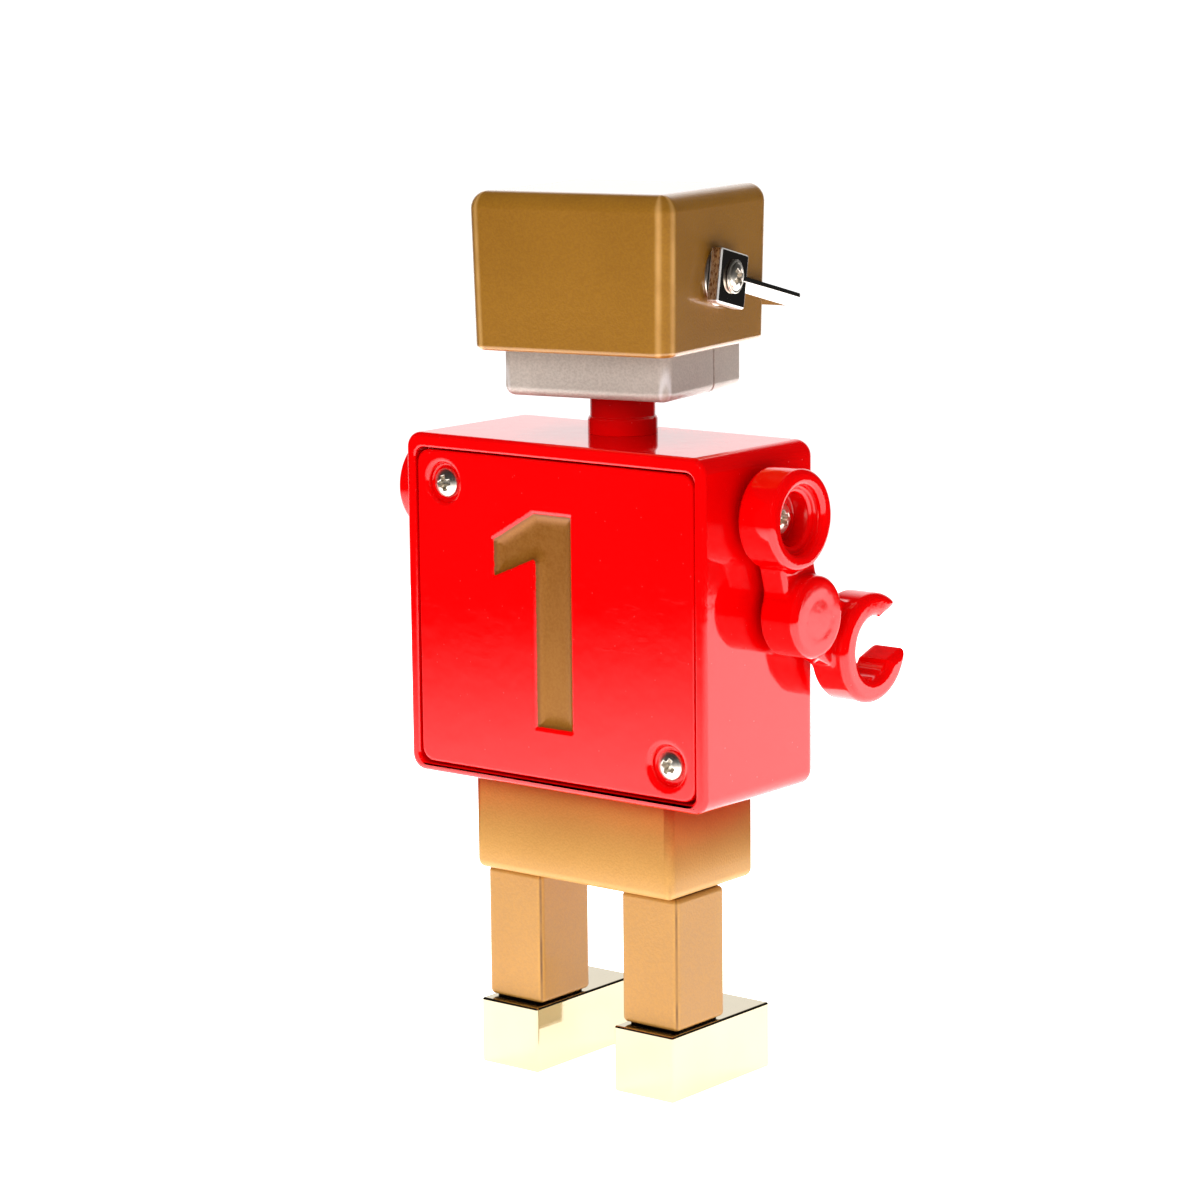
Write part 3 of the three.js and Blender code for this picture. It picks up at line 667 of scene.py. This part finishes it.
def makeTorso():
    shape = torsoShape
    low, high, centre, half = box("torso_shell")
    rings = quarterRings(low.y, half.x, half.z, shape["corner"], shape["frontEdge"], True)
    rings += quarterRings(high.y, half.x, half.z, shape["corner"], shape["backEdge"], False)
    shell = loft("torso_shell_paint", rings, finishes["red"], "y", (centre.x, 0, centre.z))
    rings = boxRings(high.y - shape["pocket"], high.y + shape["overrun"], *shape["openingHalf"],
                     shape["openingCorner"], shape["openingEdge"], shape["openingEdge"])
    opening = loft("torso_opening", rings, finishes["red"], "y", (centre.x, 0, middleOf("back_cover").z))
    carve(shell, [opening], bevel=shape["rimEdge"])
    fit(shell, "body", "red_enamel", "torso_shell")


coverShape = {"corner": 2.4, "edge": 0.5, "screwX": 22.4, "screwZ": 20.25, "bore": 3.15, "boreDepth": 1.35,
              "boreLip": 1.1, "boreFoot": 0.3, "grid": 0.36}
numeralShape = {"stem": 4.05, "top": 17.4, "bottom": -17.6, "flagTip": 12.6, "flagRise": 5.0,
                "flagDrop": 11.9, "flagRoot": 8.3, "depth": 1.0, "bowl": 0.9, "bowlPower": 1.6}


def numeralOutline():
    # as seen from behind, where the robot's right is on the right
    shape = numeralShape
    stem, top, bottom, tip = (shape[key] for key in ("stem", "top", "bottom", "flagTip"))
    return [(-stem, bottom), (stem, bottom), (stem, top), (-stem, top), (-tip, top - shape["flagRise"]),
            (-tip, top - shape["flagDrop"]), (-stem, top - shape["flagRoot"])]


def makeCover():
    shape = coverShape
    low, high, centre, half = box("back_cover")
    thickness = high.y - low.y
    outline = numeralOutline()

    def numeral(p):
        return outlineDistance(p, outline)

    def distance(p):
        height = p[..., 2]
        body = thick(plateAt(p, half.x, half.z, shape["corner"]), height, -thickness, 0, shape["edge"])
        inwards = np.maximum(-numeral(p), 0) / numeralShape["bowl"]
        sunk = numeralShape["depth"] * (1 - np.exp(-inwards ** numeralShape["bowlPower"]))
        body = softMax(body, (height + sunk) * 0.8, 0.05)  # less steep, as the bowl's wall leans
        for sign in (-1, 1):
            bore = discAt(p, sign * shape["screwX"], -sign * shape["screwZ"], shape["bore"])
            well = softMax(bore, -shape["boreDepth"] - height, shape["boreFoot"])
            body = softMax(body, -well, shape["boreLip"])
        return body

    # the sheet's own directions are the robot's right, up, and out of the back
    place = Matrix.Translation(Vector((centre.x, high.y, centre.z)) * mm) @ Matrix(
        ((-1, 0, 0, 0), (0, 0, 1, 0), (0, 1, 0, 0), (0, 0, 0, 1)))
    cover = skinned("back_cover_paint", distance, (-half.x, -half.z, -thickness), (half.x, half.z, 0),
                    shape["grid"], finishes["cover"], place, {"numeral": numeral})
    fit(cover, "body", "red_enamel", "back_cover")


neckShape = {"radius": 5.25, "collar": 5.6, "collarHeight": 2.8, "collarEdge": 0.5, "stem": 3.6, "bore": 2,
             "sunk": 4, "chinGap": 0.3}


def makeNeck():
    radius, collar, stem, bore = (neckShape[key] for key in ("radius", "collar", "stem", "bore"))
    edge = neckShape["collarEdge"]
    foot = box("torso_shell")[1].z
    bottom = foot - neckShape["sunk"]
    shoulder = foot + neckShape["collarHeight"]
    top = box("chin_rear")[0].z - neckShape["chinGap"]
    end = box("neck_tube")[1].z
    profile = [(stem, bottom), (stem, foot), (collar, foot), (collar, foot + 0.05), (collar, shoulder - edge)]
    for k in range(1, 5):
        rise = edge * math.sin(k / 4 * math.pi / 2)
        profile.append((collar - (collar - radius) * k / 4, shoulder - edge + rise))
    profile += [(radius, shoulder + 0.25), (radius, top - 0.3), (radius - 0.1, top - 0.08)]
    profile += [(radius - 0.35, top), (stem, top), (stem, end), (bore, end), (bore, bottom)]
    axis = joints["head_swivel"]["pos_m"]
    neck = turn("neck_paint", profile, finishes["neck"], Matrix.Translation((axis[0], axis[1], 0)))
    fit(neck, "body", "red_enamel", "neck_tube")


makeTorso()
makeCover()
makeNeck()
print("torso, cover and neck made")

# An elbow or claw is (forward, up, radius), a well is (radius, depth, lip).
armShape = {"thick": 7.0, "shoulder": 7.9, "elbow": (4.2, -15.7, 6.5), "claw": (19.8, -22.9, 8.8),
            "grip": 5.0, "mouth": 3.85, "mouthTurn": 19.5, "jawEdge": 0.9, "rim": 1.0, "clawRim": 1.25,
            "web": 4.75, "webEdge": 0.7, "upperWeb": (4.3, 4.0), "lowerWeb": (4.9, 5.3),
            "wrist": (-6.3, 2.9), "webClear": 0.4, "fillet": 0.7, "bore": (5.35, 1.75, 1.1),
            "seat": (4.15, 5.0, 0.6), "wellFoot": 0.35, "dish": (4.9, 0.035), "dishSlope": 2.2, "grid": 0.34}


def armDistance(p):
    # x runs forward, y up and z outwards from the torso, all from the shoulder's axis
    shape = armShape
    elbowX, elbowY, elbowR = shape["elbow"]
    clawX, clawY, clawR = shape["claw"]
    depth = p[..., 2]
    full = shape["thick"]
    body = thick(discAt(p, 0, 0, shape["shoulder"]), depth, 0, full, shape["rim"])
    body = np.minimum(body, thick(discAt(p, elbowX, elbowY, elbowR), depth, 0, full, shape["rim"]))
    tilt = math.radians(shape["mouthTurn"])
    along = (p[..., 0] - clawX) * math.cos(tilt) + (p[..., 1] - clawY) * math.sin(tilt)
    across = (p[..., 1] - clawY) * math.cos(tilt) - (p[..., 0] - clawX) * math.sin(tilt)
    fromClaw = np.hypot(along, across)
    mouth = np.maximum(np.abs(across) - shape["mouth"], -along)
    hollow = np.minimum(fromClaw - shape["grip"], mouth)
    claw = thick(softMax(fromClaw - clawR, -hollow, shape["jawEdge"]), depth, 0, full, shape["clawRim"])
    wrist = (clawX + shape["wrist"][0], clawY + shape["wrist"][1])
    upper = barAt(p, (0, 0), (elbowX, elbowY), *shape["upperWeb"])
    lower = barAt(p, (elbowX, elbowY), wrist, *shape["lowerWeb"])
    webs = thick(np.minimum(upper, lower), depth, 0, shape["web"], shape["webEdge"])
    webs = np.maximum(webs, shape["grip"] + shape["webClear"] - fromClaw)
    body = softMin(np.minimum(body, claw), webs, shape["fillet"])
    for radius, sunk, lip in (shape["bore"], shape["seat"]):
        well = softMax(discAt(p, 0, 0, radius), full - sunk - depth, shape["wellFoot"])
        body = softMax(body, -well, lip)
    radius, sunk = shape["dish"]
    inwards = np.clip(-discAt(p, elbowX, elbowY, radius) / shape["dishSlope"], 0, 1)
    dish = sunk * inwards ** 2 * (3 - 2 * inwards)
    return softMax(body, depth - full + dish, 0.05)


def makeArm(side, sign):
    shape = armShape
    low, high = box("arm_" + side)[:2]
    inner = low.x if sign > 0 else high.x
    joint = Vector(joints["shoulder_" + side]["pos_m"])
    place = Matrix.Translation((inner * mm, joint.y, joint.z)) @ Matrix(
        ((0, 0, sign, 0), (-1, 0, 0, 0), (0, 1, 0, 0), (0, 0, 0, 1)))
    clawX, clawY, clawR = shape["claw"]
    start = (-shape["shoulder"], clawY - clawR, 0)
    end = (clawX + clawR, shape["shoulder"], shape["thick"])
    arm = skinned(f"arm_{side}_paint", armDistance, start, end, shape["grid"], finishes["red"], place)
    fit(arm, "arm_" + side, "red_enamel", "arm_" + side)


for side, sign in (("right", -1), ("left", 1)):
    makeArm(side, sign)
print("arms made")

# A flange is how far a flat rim stands out round the domed head, and turned is in degrees.
screwHeads = {"cover": {"radius": 2.38, "height": 1.3, "turned": {"upper": 12, "lower": 62}},
              "ear": {"radius": 2.65, "height": 1.1, "turned": 35, "sunk": 0.15, "flange": 0.5},
              "shoulder": {"radius": 2.55, "height": 1.75, "turned": 20}}
crossShape = {"share": 2.4, "arm": 0.40, "armTaper": 0.10, "reach": 1.32, "reachTaper": 0.45,
              "core": 0.78, "coreTaper": 0.35, "deep": 0.85, "edge": 0.12, "grid": 0.11}


def screwDistance(radius, height, flange):
    cross = crossShape
    size = radius / cross["share"]
    domeR = (radius ** 2 + (0.6 * height) ** 2) / (1.2 * height)

    def recess(p):
        depth = height - p[..., 2]
        half = cross["arm"] * size - cross["armTaper"] * depth
        reach = cross["reach"] * size - cross["reachTaper"] * depth
        x, y = np.abs(p[..., 0]), np.abs(p[..., 1])
        arms = np.minimum(np.maximum(x - half, y - reach), np.maximum(y - half, x - reach))
        core = np.hypot(x, y) - (cross["core"] * size - cross["coreTaper"] * depth)
        return np.maximum(np.minimum(arms, core), depth - cross["deep"] * height)

    def distance(p):
        r = np.hypot(p[..., 0], p[..., 1])
        dome = np.sqrt(r ** 2 + (p[..., 2] - height + domeR) ** 2) - domeR
        head = softMax(softMax(dome, r - radius + flange, 0.25), -p[..., 2], 0.1)
        if flange:
            head = np.minimum(head, thick(r - radius, p[..., 2], 0, 0.42 * height, 0.14))
        return softMax(head, -recess(p), cross["edge"])

    return distance, recess


def makeScrew(node, head, towards, turned, body):
    radius, height = head["radius"], head["height"]
    towards = Vector(towards)
    seat = middleOf(node) + towards * (extent(node, towards) - height - head.get("sunk", 0))
    facing = towards.to_track_quat("Z", "Y").to_matrix().to_4x4()
    place = Matrix.Translation(seat * mm) @ facing @ Matrix.Rotation(math.radians(turned), 4, "Z")
    distance, recess = screwDistance(radius, height, head.get("flange", 0))
    screw = skinned(node + "_head", distance, (-radius, -radius, 0), (radius, radius, height),
                    crossShape["grid"], finishes["screw"], place, {"recess": recess})
    fit(screw, body, "screw_steel", node)


earAxis = -Vector(joints["visor_tilt"]["axis"])  # points out of the left ear
for level, turned in screwHeads["cover"]["turned"].items():
    makeScrew("cover_screw_" + level, screwHeads["cover"], (0, 1, 0), turned, "body")
for side, sign in (("right", -1), ("left", 1)):
    ear, shoulder = screwHeads["ear"], screwHeads["shoulder"]
    makeScrew("ear_screw_" + side, ear, earAxis * sign, ear["turned"], "head")
    makeScrew("shoulder_screw_" + side, shoulder, (sign, 0, 0), shoulder["turned"], "body")
print("screws made")

headShape = {"half": (17.97, 17.63), "centreY": 0.6, "corner": 2.9, "topEdge": 2.8, "footEdge": 0.9,
             "draft": 0.42, "eyeX": 7.6, "socket": 3.05, "socketDepth": 3, "neckHole": 6.4, "floor": 2.4}
chinShape = {"half": (14.73, 13.21), "centreY": -0.35, "corner": 1.9, "footEdge": 1.6, "seamY": -3.1,
             "seamGap": 0.4, "rimEdge": 0.25, "neckHole": 3.9, "neckHoleTop": 12, "clear": 40}

neckAxis = Vector(joints["head_swivel"]["pos_m"])
headTurn = Matrix.Rotation(math.atan2(earAxis.y, earAxis.x), 4, "Z")
headPlace = Matrix.Translation((neckAxis.x, neckAxis.y, 0)) @ headTurn
upright = Matrix.Rotation(math.pi / 2, 4, "X")  # turns an upright profile to face forward


def makeHead():
    shape = headShape
    low, high = box("head_shell")[:2]
    halfX, halfY = shape["half"]
    depth = shape["socketDepth"]
    rings = boxRings(low.z, high.z, halfX, halfY, shape["corner"], shape["footEdge"], shape["topEdge"],
                     shape["draft"])
    head = loft("head_paint", rings, finishes["gold"], "z", (0, shape["centreY"], 0), headPlace)
    eyeZ = middleOf("eye_lens_left").z
    cutters = []
    for sign in (-1, 1):
        spot = Vector((sign * shape["eyeX"], shape["centreY"] - halfY, eyeZ)) * mm
        place = headPlace @ Matrix.Translation(spot) @ upright
        cutters.append(drill("eye_socket", shape["socket"], -depth, depth, finishes["gold"], place))
    place = headPlace @ Matrix.Translation((0, 0, low.z * mm))
    cutters.append(drill("neck_hole", shape["neckHole"], -3, shape["floor"], finishes["gold"], place))
    carve(head, cutters)
    fit(head, "head", "gold_head", "head_shell")


def makeChin(node, rear):
    # both halves start as the whole chin, and each loses the other half and a hole for the neck
    shape = chinShape
    low, high = box(node)[:2]
    halfX, halfY = shape["half"]
    seam, gap, clear = shape["seamY"], shape["seamGap"] / 2, shape["clear"]
    rings = quarterRings(low.z, halfX, halfY, shape["corner"], shape["footEdge"], True)
    rings.append((high.z, halfX, halfY, shape["corner"], 0))
    chin = loft(node + "_plate", rings, finishes["silver"], "z", (0, shape["centreY"], 0), headPlace)
    start, end = (-clear, seam + gap) if rear else (seam - gap, clear)
    middle, half = (start + end) / 2, (end - start) / 2
    away = loft("chin_away", [(low.z - 5, clear, half, 0.01), (high.z + 5, clear, half, 0.01)],
                finishes["silver"], "z", (0, middle, 0), headPlace)
    place = headPlace @ Matrix.Translation((0, 0, low.z * mm))
    hole = drill("chin_hole", shape["neckHole"], -2, shape["neckHoleTop"], finishes["silver"], place)
    carve(chin, [away, hole], bevel=shape["rimEdge"])
    fit(chin, "head", "silver_chin", node)


makeHead()
makeChin("chin_rear", True)
makeChin("chin_front", False)
print("head and chin made")

# The blade runs forward from both ears and across the face, and droops by so many degrees.
visorShape = {"droop": 12.3, "reach": 26.9, "start": -4.2, "inner": 18.27, "outer": 20.47, "top": 0.62,
              "outerFoot": -0.12, "innerFoot": -1.5, "cornerR": 2.6, "edge": 0.09,
              "plate": (4.75, 4.3), "plateAhead": 0.7, "plateDrop": 0.2, "plateSpan": (18.4, 20.3),
              "plateCorner": 0.5, "bevel": 0.38, "innerBevel": 0.15}
washerShape = {"radius": 4.6, "hole": 1.4, "edge": 0.22, "thickness": 0.6, "inset": 0.35}
eyeShape = {"seat": 1.6, "bore": 2.2, "barrel": 2.7, "flange": 3.9, "flangeBack": 0.1, "flangeFront": 0.9,
            "bead": (3.45, 1.1, 0.45, 0.5), "lens": 2.0, "lensBack": -1.8, "lensRim": 0.35, "dome": 0.8}

visorPlace = (Matrix.Translation(joints["visor_tilt"]["pos_m"]) @ headTurn
              @ Matrix.Rotation(math.radians(visorShape["droop"]), 4, "X"))


def visorSection():
    # offsets are measured inwards from the outer face, heights from the ear axis
    shape = visorShape
    width = shape["outer"] - shape["inner"]
    corners = [(0, shape["outerFoot"]), (0, shape["top"]), (width, shape["top"]), (width, shape["innerFoot"])]
    return softCorner(corners, shape["edge"], 3)


def visorPath():
    # from the left ear forward, across the face and back, each point with its inward direction
    shape = visorShape
    front, outer, r = -shape["reach"], shape["outer"], shape["cornerR"]
    path = [((outer, shape["start"]), (-1, 0))]
    for sign in (1, -1):
        for step in range(9):
            angle = step / 8 * math.pi / 2
            if sign < 0:
                angle = math.pi / 2 - angle
            outX, outY = sign * math.cos(angle), -math.sin(angle)
            path.append(((sign * (outer - r) + r * outX, front + r + r * outY), (-outX, -outY)))
    path.append(((-outer, shape["start"]), (1, 0)))
    return path


def makeVisor():
    section, path = visorSection(), visorPath()
    count = len(section)
    vertices = [(x + inX * inset, y + inY * inset, height)
                for (x, y), (inX, inY) in path for inset, height in section]
    faces = []
    for start in range(0, len(vertices) - count, count):
        for j in range(count):
            after = (j + 1) % count
            faces.append((start + j, start + after, start + count + after, start + count + j))
    faces += [tuple(range(count)), tuple(range(len(vertices) - count, len(vertices)))]
    band = faceOut(meshObject("visor_band_chrome", vertices, faces, finishes["chrome"], visorPlace))
    fit(band, "visor", "chrome", "visor_band")


def makeEarPlate(side, sign):
    shape = visorShape
    low, high = sorted(sign * reach for reach in shape["plateSpan"])
    edges = (shape["innerBevel"], shape["bevel"])[::sign]  # the wider bevel faces out
    rings = boxRings(low, high, *shape["plate"], shape["plateCorner"], *edges)
    spot = (0, -shape["plateAhead"], -shape["plateDrop"])
    plate = loft("ear_plate_" + side, rings, finishes["earPlate"], "x", spot, visorPlace)
    fit(plate, "visor", "chrome")


def makeWasher(side, sign):
    middle = middleOf("ear_washer_" + side) - earAxis * sign * washerShape["inset"]
    r, hole, edge = (washerShape[key] for key in ("radius", "hole", "edge"))
    half = washerShape["thickness"] / 2
    profile = [(hole, -half), (r - edge, -half), (r, -half + edge), (r, half - edge), (r - edge, half),
               (hole, half)]
    facing = (earAxis * sign).to_track_quat("Z", "Y").to_matrix().to_4x4()
    place = Matrix.Translation(middle * mm) @ facing
    washer = turn(f"ear_washer_{side}_chrome", profile, finishes["washer"], place)
    fit(washer, "head", "chrome", "ear_washer_" + side)


def makeEye(side):
    shape = eyeShape
    bezelNode, lensNode = "eye_bezel_" + side, "eye_lens_" + side
    forward = headTurn @ Vector((0, -1, 0))
    face = middleOf(bezelNode) + forward * (extent(bezelNode, forward) - shape["seat"])
    place = Matrix.Translation(face * mm) @ headTurn @ upright
    bore, barrel, flange, back = (shape[key] for key in ("bore", "barrel", "flange", "flangeBack"))
    beadR, beadZ, beadWidth, beadHeight = shape["bead"]
    bezel = [(bore, -2), (barrel, -2), (barrel, back), (flange, back), (flange, shape["flangeFront"])]
    for k in range(7):
        angle = k / 6 * math.pi
        bezel.append((beadR + beadWidth * math.cos(angle), beadZ + beadHeight * math.sin(angle)))
    bezel += [(bore + 0.1, 0.6), (bore, 0.4)]
    ring = turn(f"eye_bezel_{side}_chrome", bezel, finishes["chrome"], place, 64)
    fit(ring, "head", "chrome", bezelNode)
    radius, rim = shape["lens"], shape["lensRim"]
    dome = [(0, shape["lensBack"]), (radius, shape["lensBack"]), (radius, rim)]
    for k in range(1, 11):
        angle = k / 10 * math.pi / 2
        dome.append((radius * math.cos(angle), rim + shape["dome"] * math.sin(angle)))
    lens = turn(f"eye_lens_{side}_glass", dome, finishes["lens"], place, 64)
    fit(lens, "head", "eye_glass", lensNode)


makeVisor()
for side, sign in (("right", -1), ("left", 1)):
    makeEarPlate(side, sign)
    makeWasher(side, sign)
    makeEye(side)
print("ears, visor and eyes made")

pelvisShape = {"corner": 1.35, "edge": 1.45}
legShape = {"corner": 1.0, "edge": 0.8, "soleGap": 0.35, "hipGap": 0.2, "neckInset": 0.8}
footShape = {"corner": 0.45, "edge": 0.35, "topEdge": 0.4, "boltSeat": 3.1, "seatDepth": 3}


def makePelvis():
    low, high, centre, half = box("pelvis_block")
    corner = pelvisShape["corner"]
    rings = quarterRings(low.z, half.x, half.y, corner, pelvisShape["edge"], True)
    rings.append((high.z, half.x, half.y, corner, 0))
    pelvis = loft("pelvis_paint", rings, finishes["hipGold"], "z", (centre.x, centre.y, 0))
    fit(pelvis, "body", "pale_gold", "pelvis_block")


def makeLeg(side):
    # a short narrower neck at each end leaves a dark line against the foot and the pelvis, and its rings are
    # painted near black as painted shade
    low, high, centre, half = box("leg_" + side)
    inset, corner, edge = (legShape[key] for key in ("neckInset", "corner", "edge"))
    soleZ, hipZ = low.z + legShape["soleGap"], high.z - legShape["hipGap"]
    # shade 1 on the neck rings paints them nearly black: painted shade in the gaps
    neck = (half.x - inset, half.y - inset, corner, 0, 1)
    rings = [(low.z, *neck), (soleZ, *neck)]
    rings += quarterRings(soleZ, half.x, half.y, corner, edge, True)
    rings += quarterRings(hipZ, half.x, half.y, corner, edge, False)
    rings += [(hipZ, *neck), (high.z, *neck)]
    leg = loft(f"leg_{side}_paint", rings, finishes["legGold"], "z", (centre.x, centre.y, 0))
    fit(leg, "body", "pale_gold", "leg_" + side)


def makeFoot(side):
    low, high, centre, half = box("foot_" + side)
    edges = (footShape["corner"], footShape["edge"], footShape["topEdge"])
    rings = boxRings(low.z, high.z, half.x, half.y, *edges)
    foot = loft(f"foot_{side}_chrome", rings, finishes["footPlate"], "z", (centre.x, centre.y, 0))
    bolt = middleOf("leg_bolt_" + side)
    place = Matrix.Translation(Vector((bolt.x, bolt.y, 0)) * mm)
    seat = drill("bolt_seat", footShape["boltSeat"], -1, footShape["seatDepth"], finishes["footPlate"], place)
    carve(foot, [seat])
    fit(foot, "body", "chrome", "foot_" + side)


makePelvis()
for side in ("right", "left"):
    makeLeg(side)
    makeFoot(side)
print("pelvis, legs and feet made")

keptHardware = ("leg_bolt", "pelvis_screw", "chin_screw", "neck_nut", "shoulder_nut", "shoulder_washer")


def dressHardware():
    # small hardware stays as the frame has it, with a plated finish
    for name, node in frame["nodes"].items():
        if name.startswith(keptHardware):
            node.data.materials.clear()
            node.data.materials.append(finishes["zinc"])


dressHardware()
print("hardware dressed")

stageLook = {"floorRadius": 470, "bright": (0.93, 0.93, 0.93, 1), "grain": (0.90, 0.90, 0.90, 1),
             "fadeCentre": (-0.11, -0.137, 0), "fadeFrom": 0.28, "fadeTo": 0.64, "glow": 1.95,
             "backdrop": 1.2, "farGlow": 1.35, "farBand": (0.72, 0.93), "dark": 0.02, "ambient": 0.42}
# A lamp is (azimuth, elevation, distance, size, power).
lamps = {"top softbox": (195, 76, 0.9, 0.8, 3), "back softbox": (192, 25, 1.0, 0.6, 6.6),
         "front softbox": (20, 35, 1.0, 0.6, 6.6)}
lampAim = Vector((0, 0, 0.08))


def paleFloor():
    # pale sheet that fades into the surroundings towards its far side
    look = stageLook
    shader = Shader("pale floor")
    spot = shader.place()
    away = shader.add("VectorMath", {"operation": "DISTANCE"}, {0: spot, 1: look["fadeCentre"]}, output=1)
    colour = shader.blend(shader.noise(spot, 60, 3), look["bright"], look["grain"])
    return shader.finish({"Base Color": colour, "Roughness": 0.8, "Specular IOR Level": 0.1,
                          "Emission Color": colour, "Emission Strength": look["glow"],
                          "Alpha": 1 - away.ramp(look["fadeFrom"], look["fadeTo"])})


def makeFloor():
    radius, count = stageLook["floorRadius"], 128
    angles = [k / count * 2 * math.pi for k in range(count)]
    points = [(radius * math.cos(angle), radius * math.sin(angle), 0) for angle in angles]
    meshObject("floor", points, [range(count)], paleFloor())


def makeLamp(name, azimuth, elevation, distance, size, power):
    back = directionTo(azimuth, elevation)
    data = bpy.data.lights.new(name, "AREA")
    data.shape, data.size, data.energy = "SQUARE", size, power
    light = bpy.data.objects.new(name, data)
    light.location = lampAim + back * distance
    light.rotation_euler = back.to_track_quat("Z", "Y").to_euler()
    light.visible_glossy = False
    bpy.context.scene.collection.objects.link(light)


def makeWorld():
    # the surroundings look white, and only their far side is bright enough to show in the gloss
    look = stageLook
    world = bpy.data.worlds.new("studio")
    world.use_nodes = True
    bpy.context.scene.world = world
    shader = Shader("studio", world.node_tree)
    white = (1, 1, 1, 1)
    spot = shader.add("TexCoord", output=0)
    farSide = tuple(-directionTo(viewpoint["azimuth"], 0))
    facing = shader.add("VectorMath", {"operation": "DOT_PRODUCT"}, {0: spot, 1: farSide}, output=1)
    glow = facing.ramp(*look["farBand"]) * look["farGlow"] + look["dark"]
    seen = shader.add("LightPath", output=0)
    scattered = shader.add("LightPath", output=2)
    shown = shader.add("Background", None, {"Color": white, "Strength": look["backdrop"]})
    even = shader.add("Background", None, {"Color": white, "Strength": look["ambient"]})
    lit = shader.add("Background", None, {"Color": white, "Strength": glow})
    mixed = shader.add("MixShader", None, {0: scattered, 1: lit, 2: even})
    mixed = shader.add("MixShader", None, {0: seen, 1: mixed, 2: shown})
    shader.add("OutputWorld", None, {"Surface": mixed})


makeFloor()
for name, lamp in lamps.items():
    makeLamp(name, *lamp)
makeWorld()
bpy.context.scene.view_settings.view_transform = "Standard"
print("stage made")
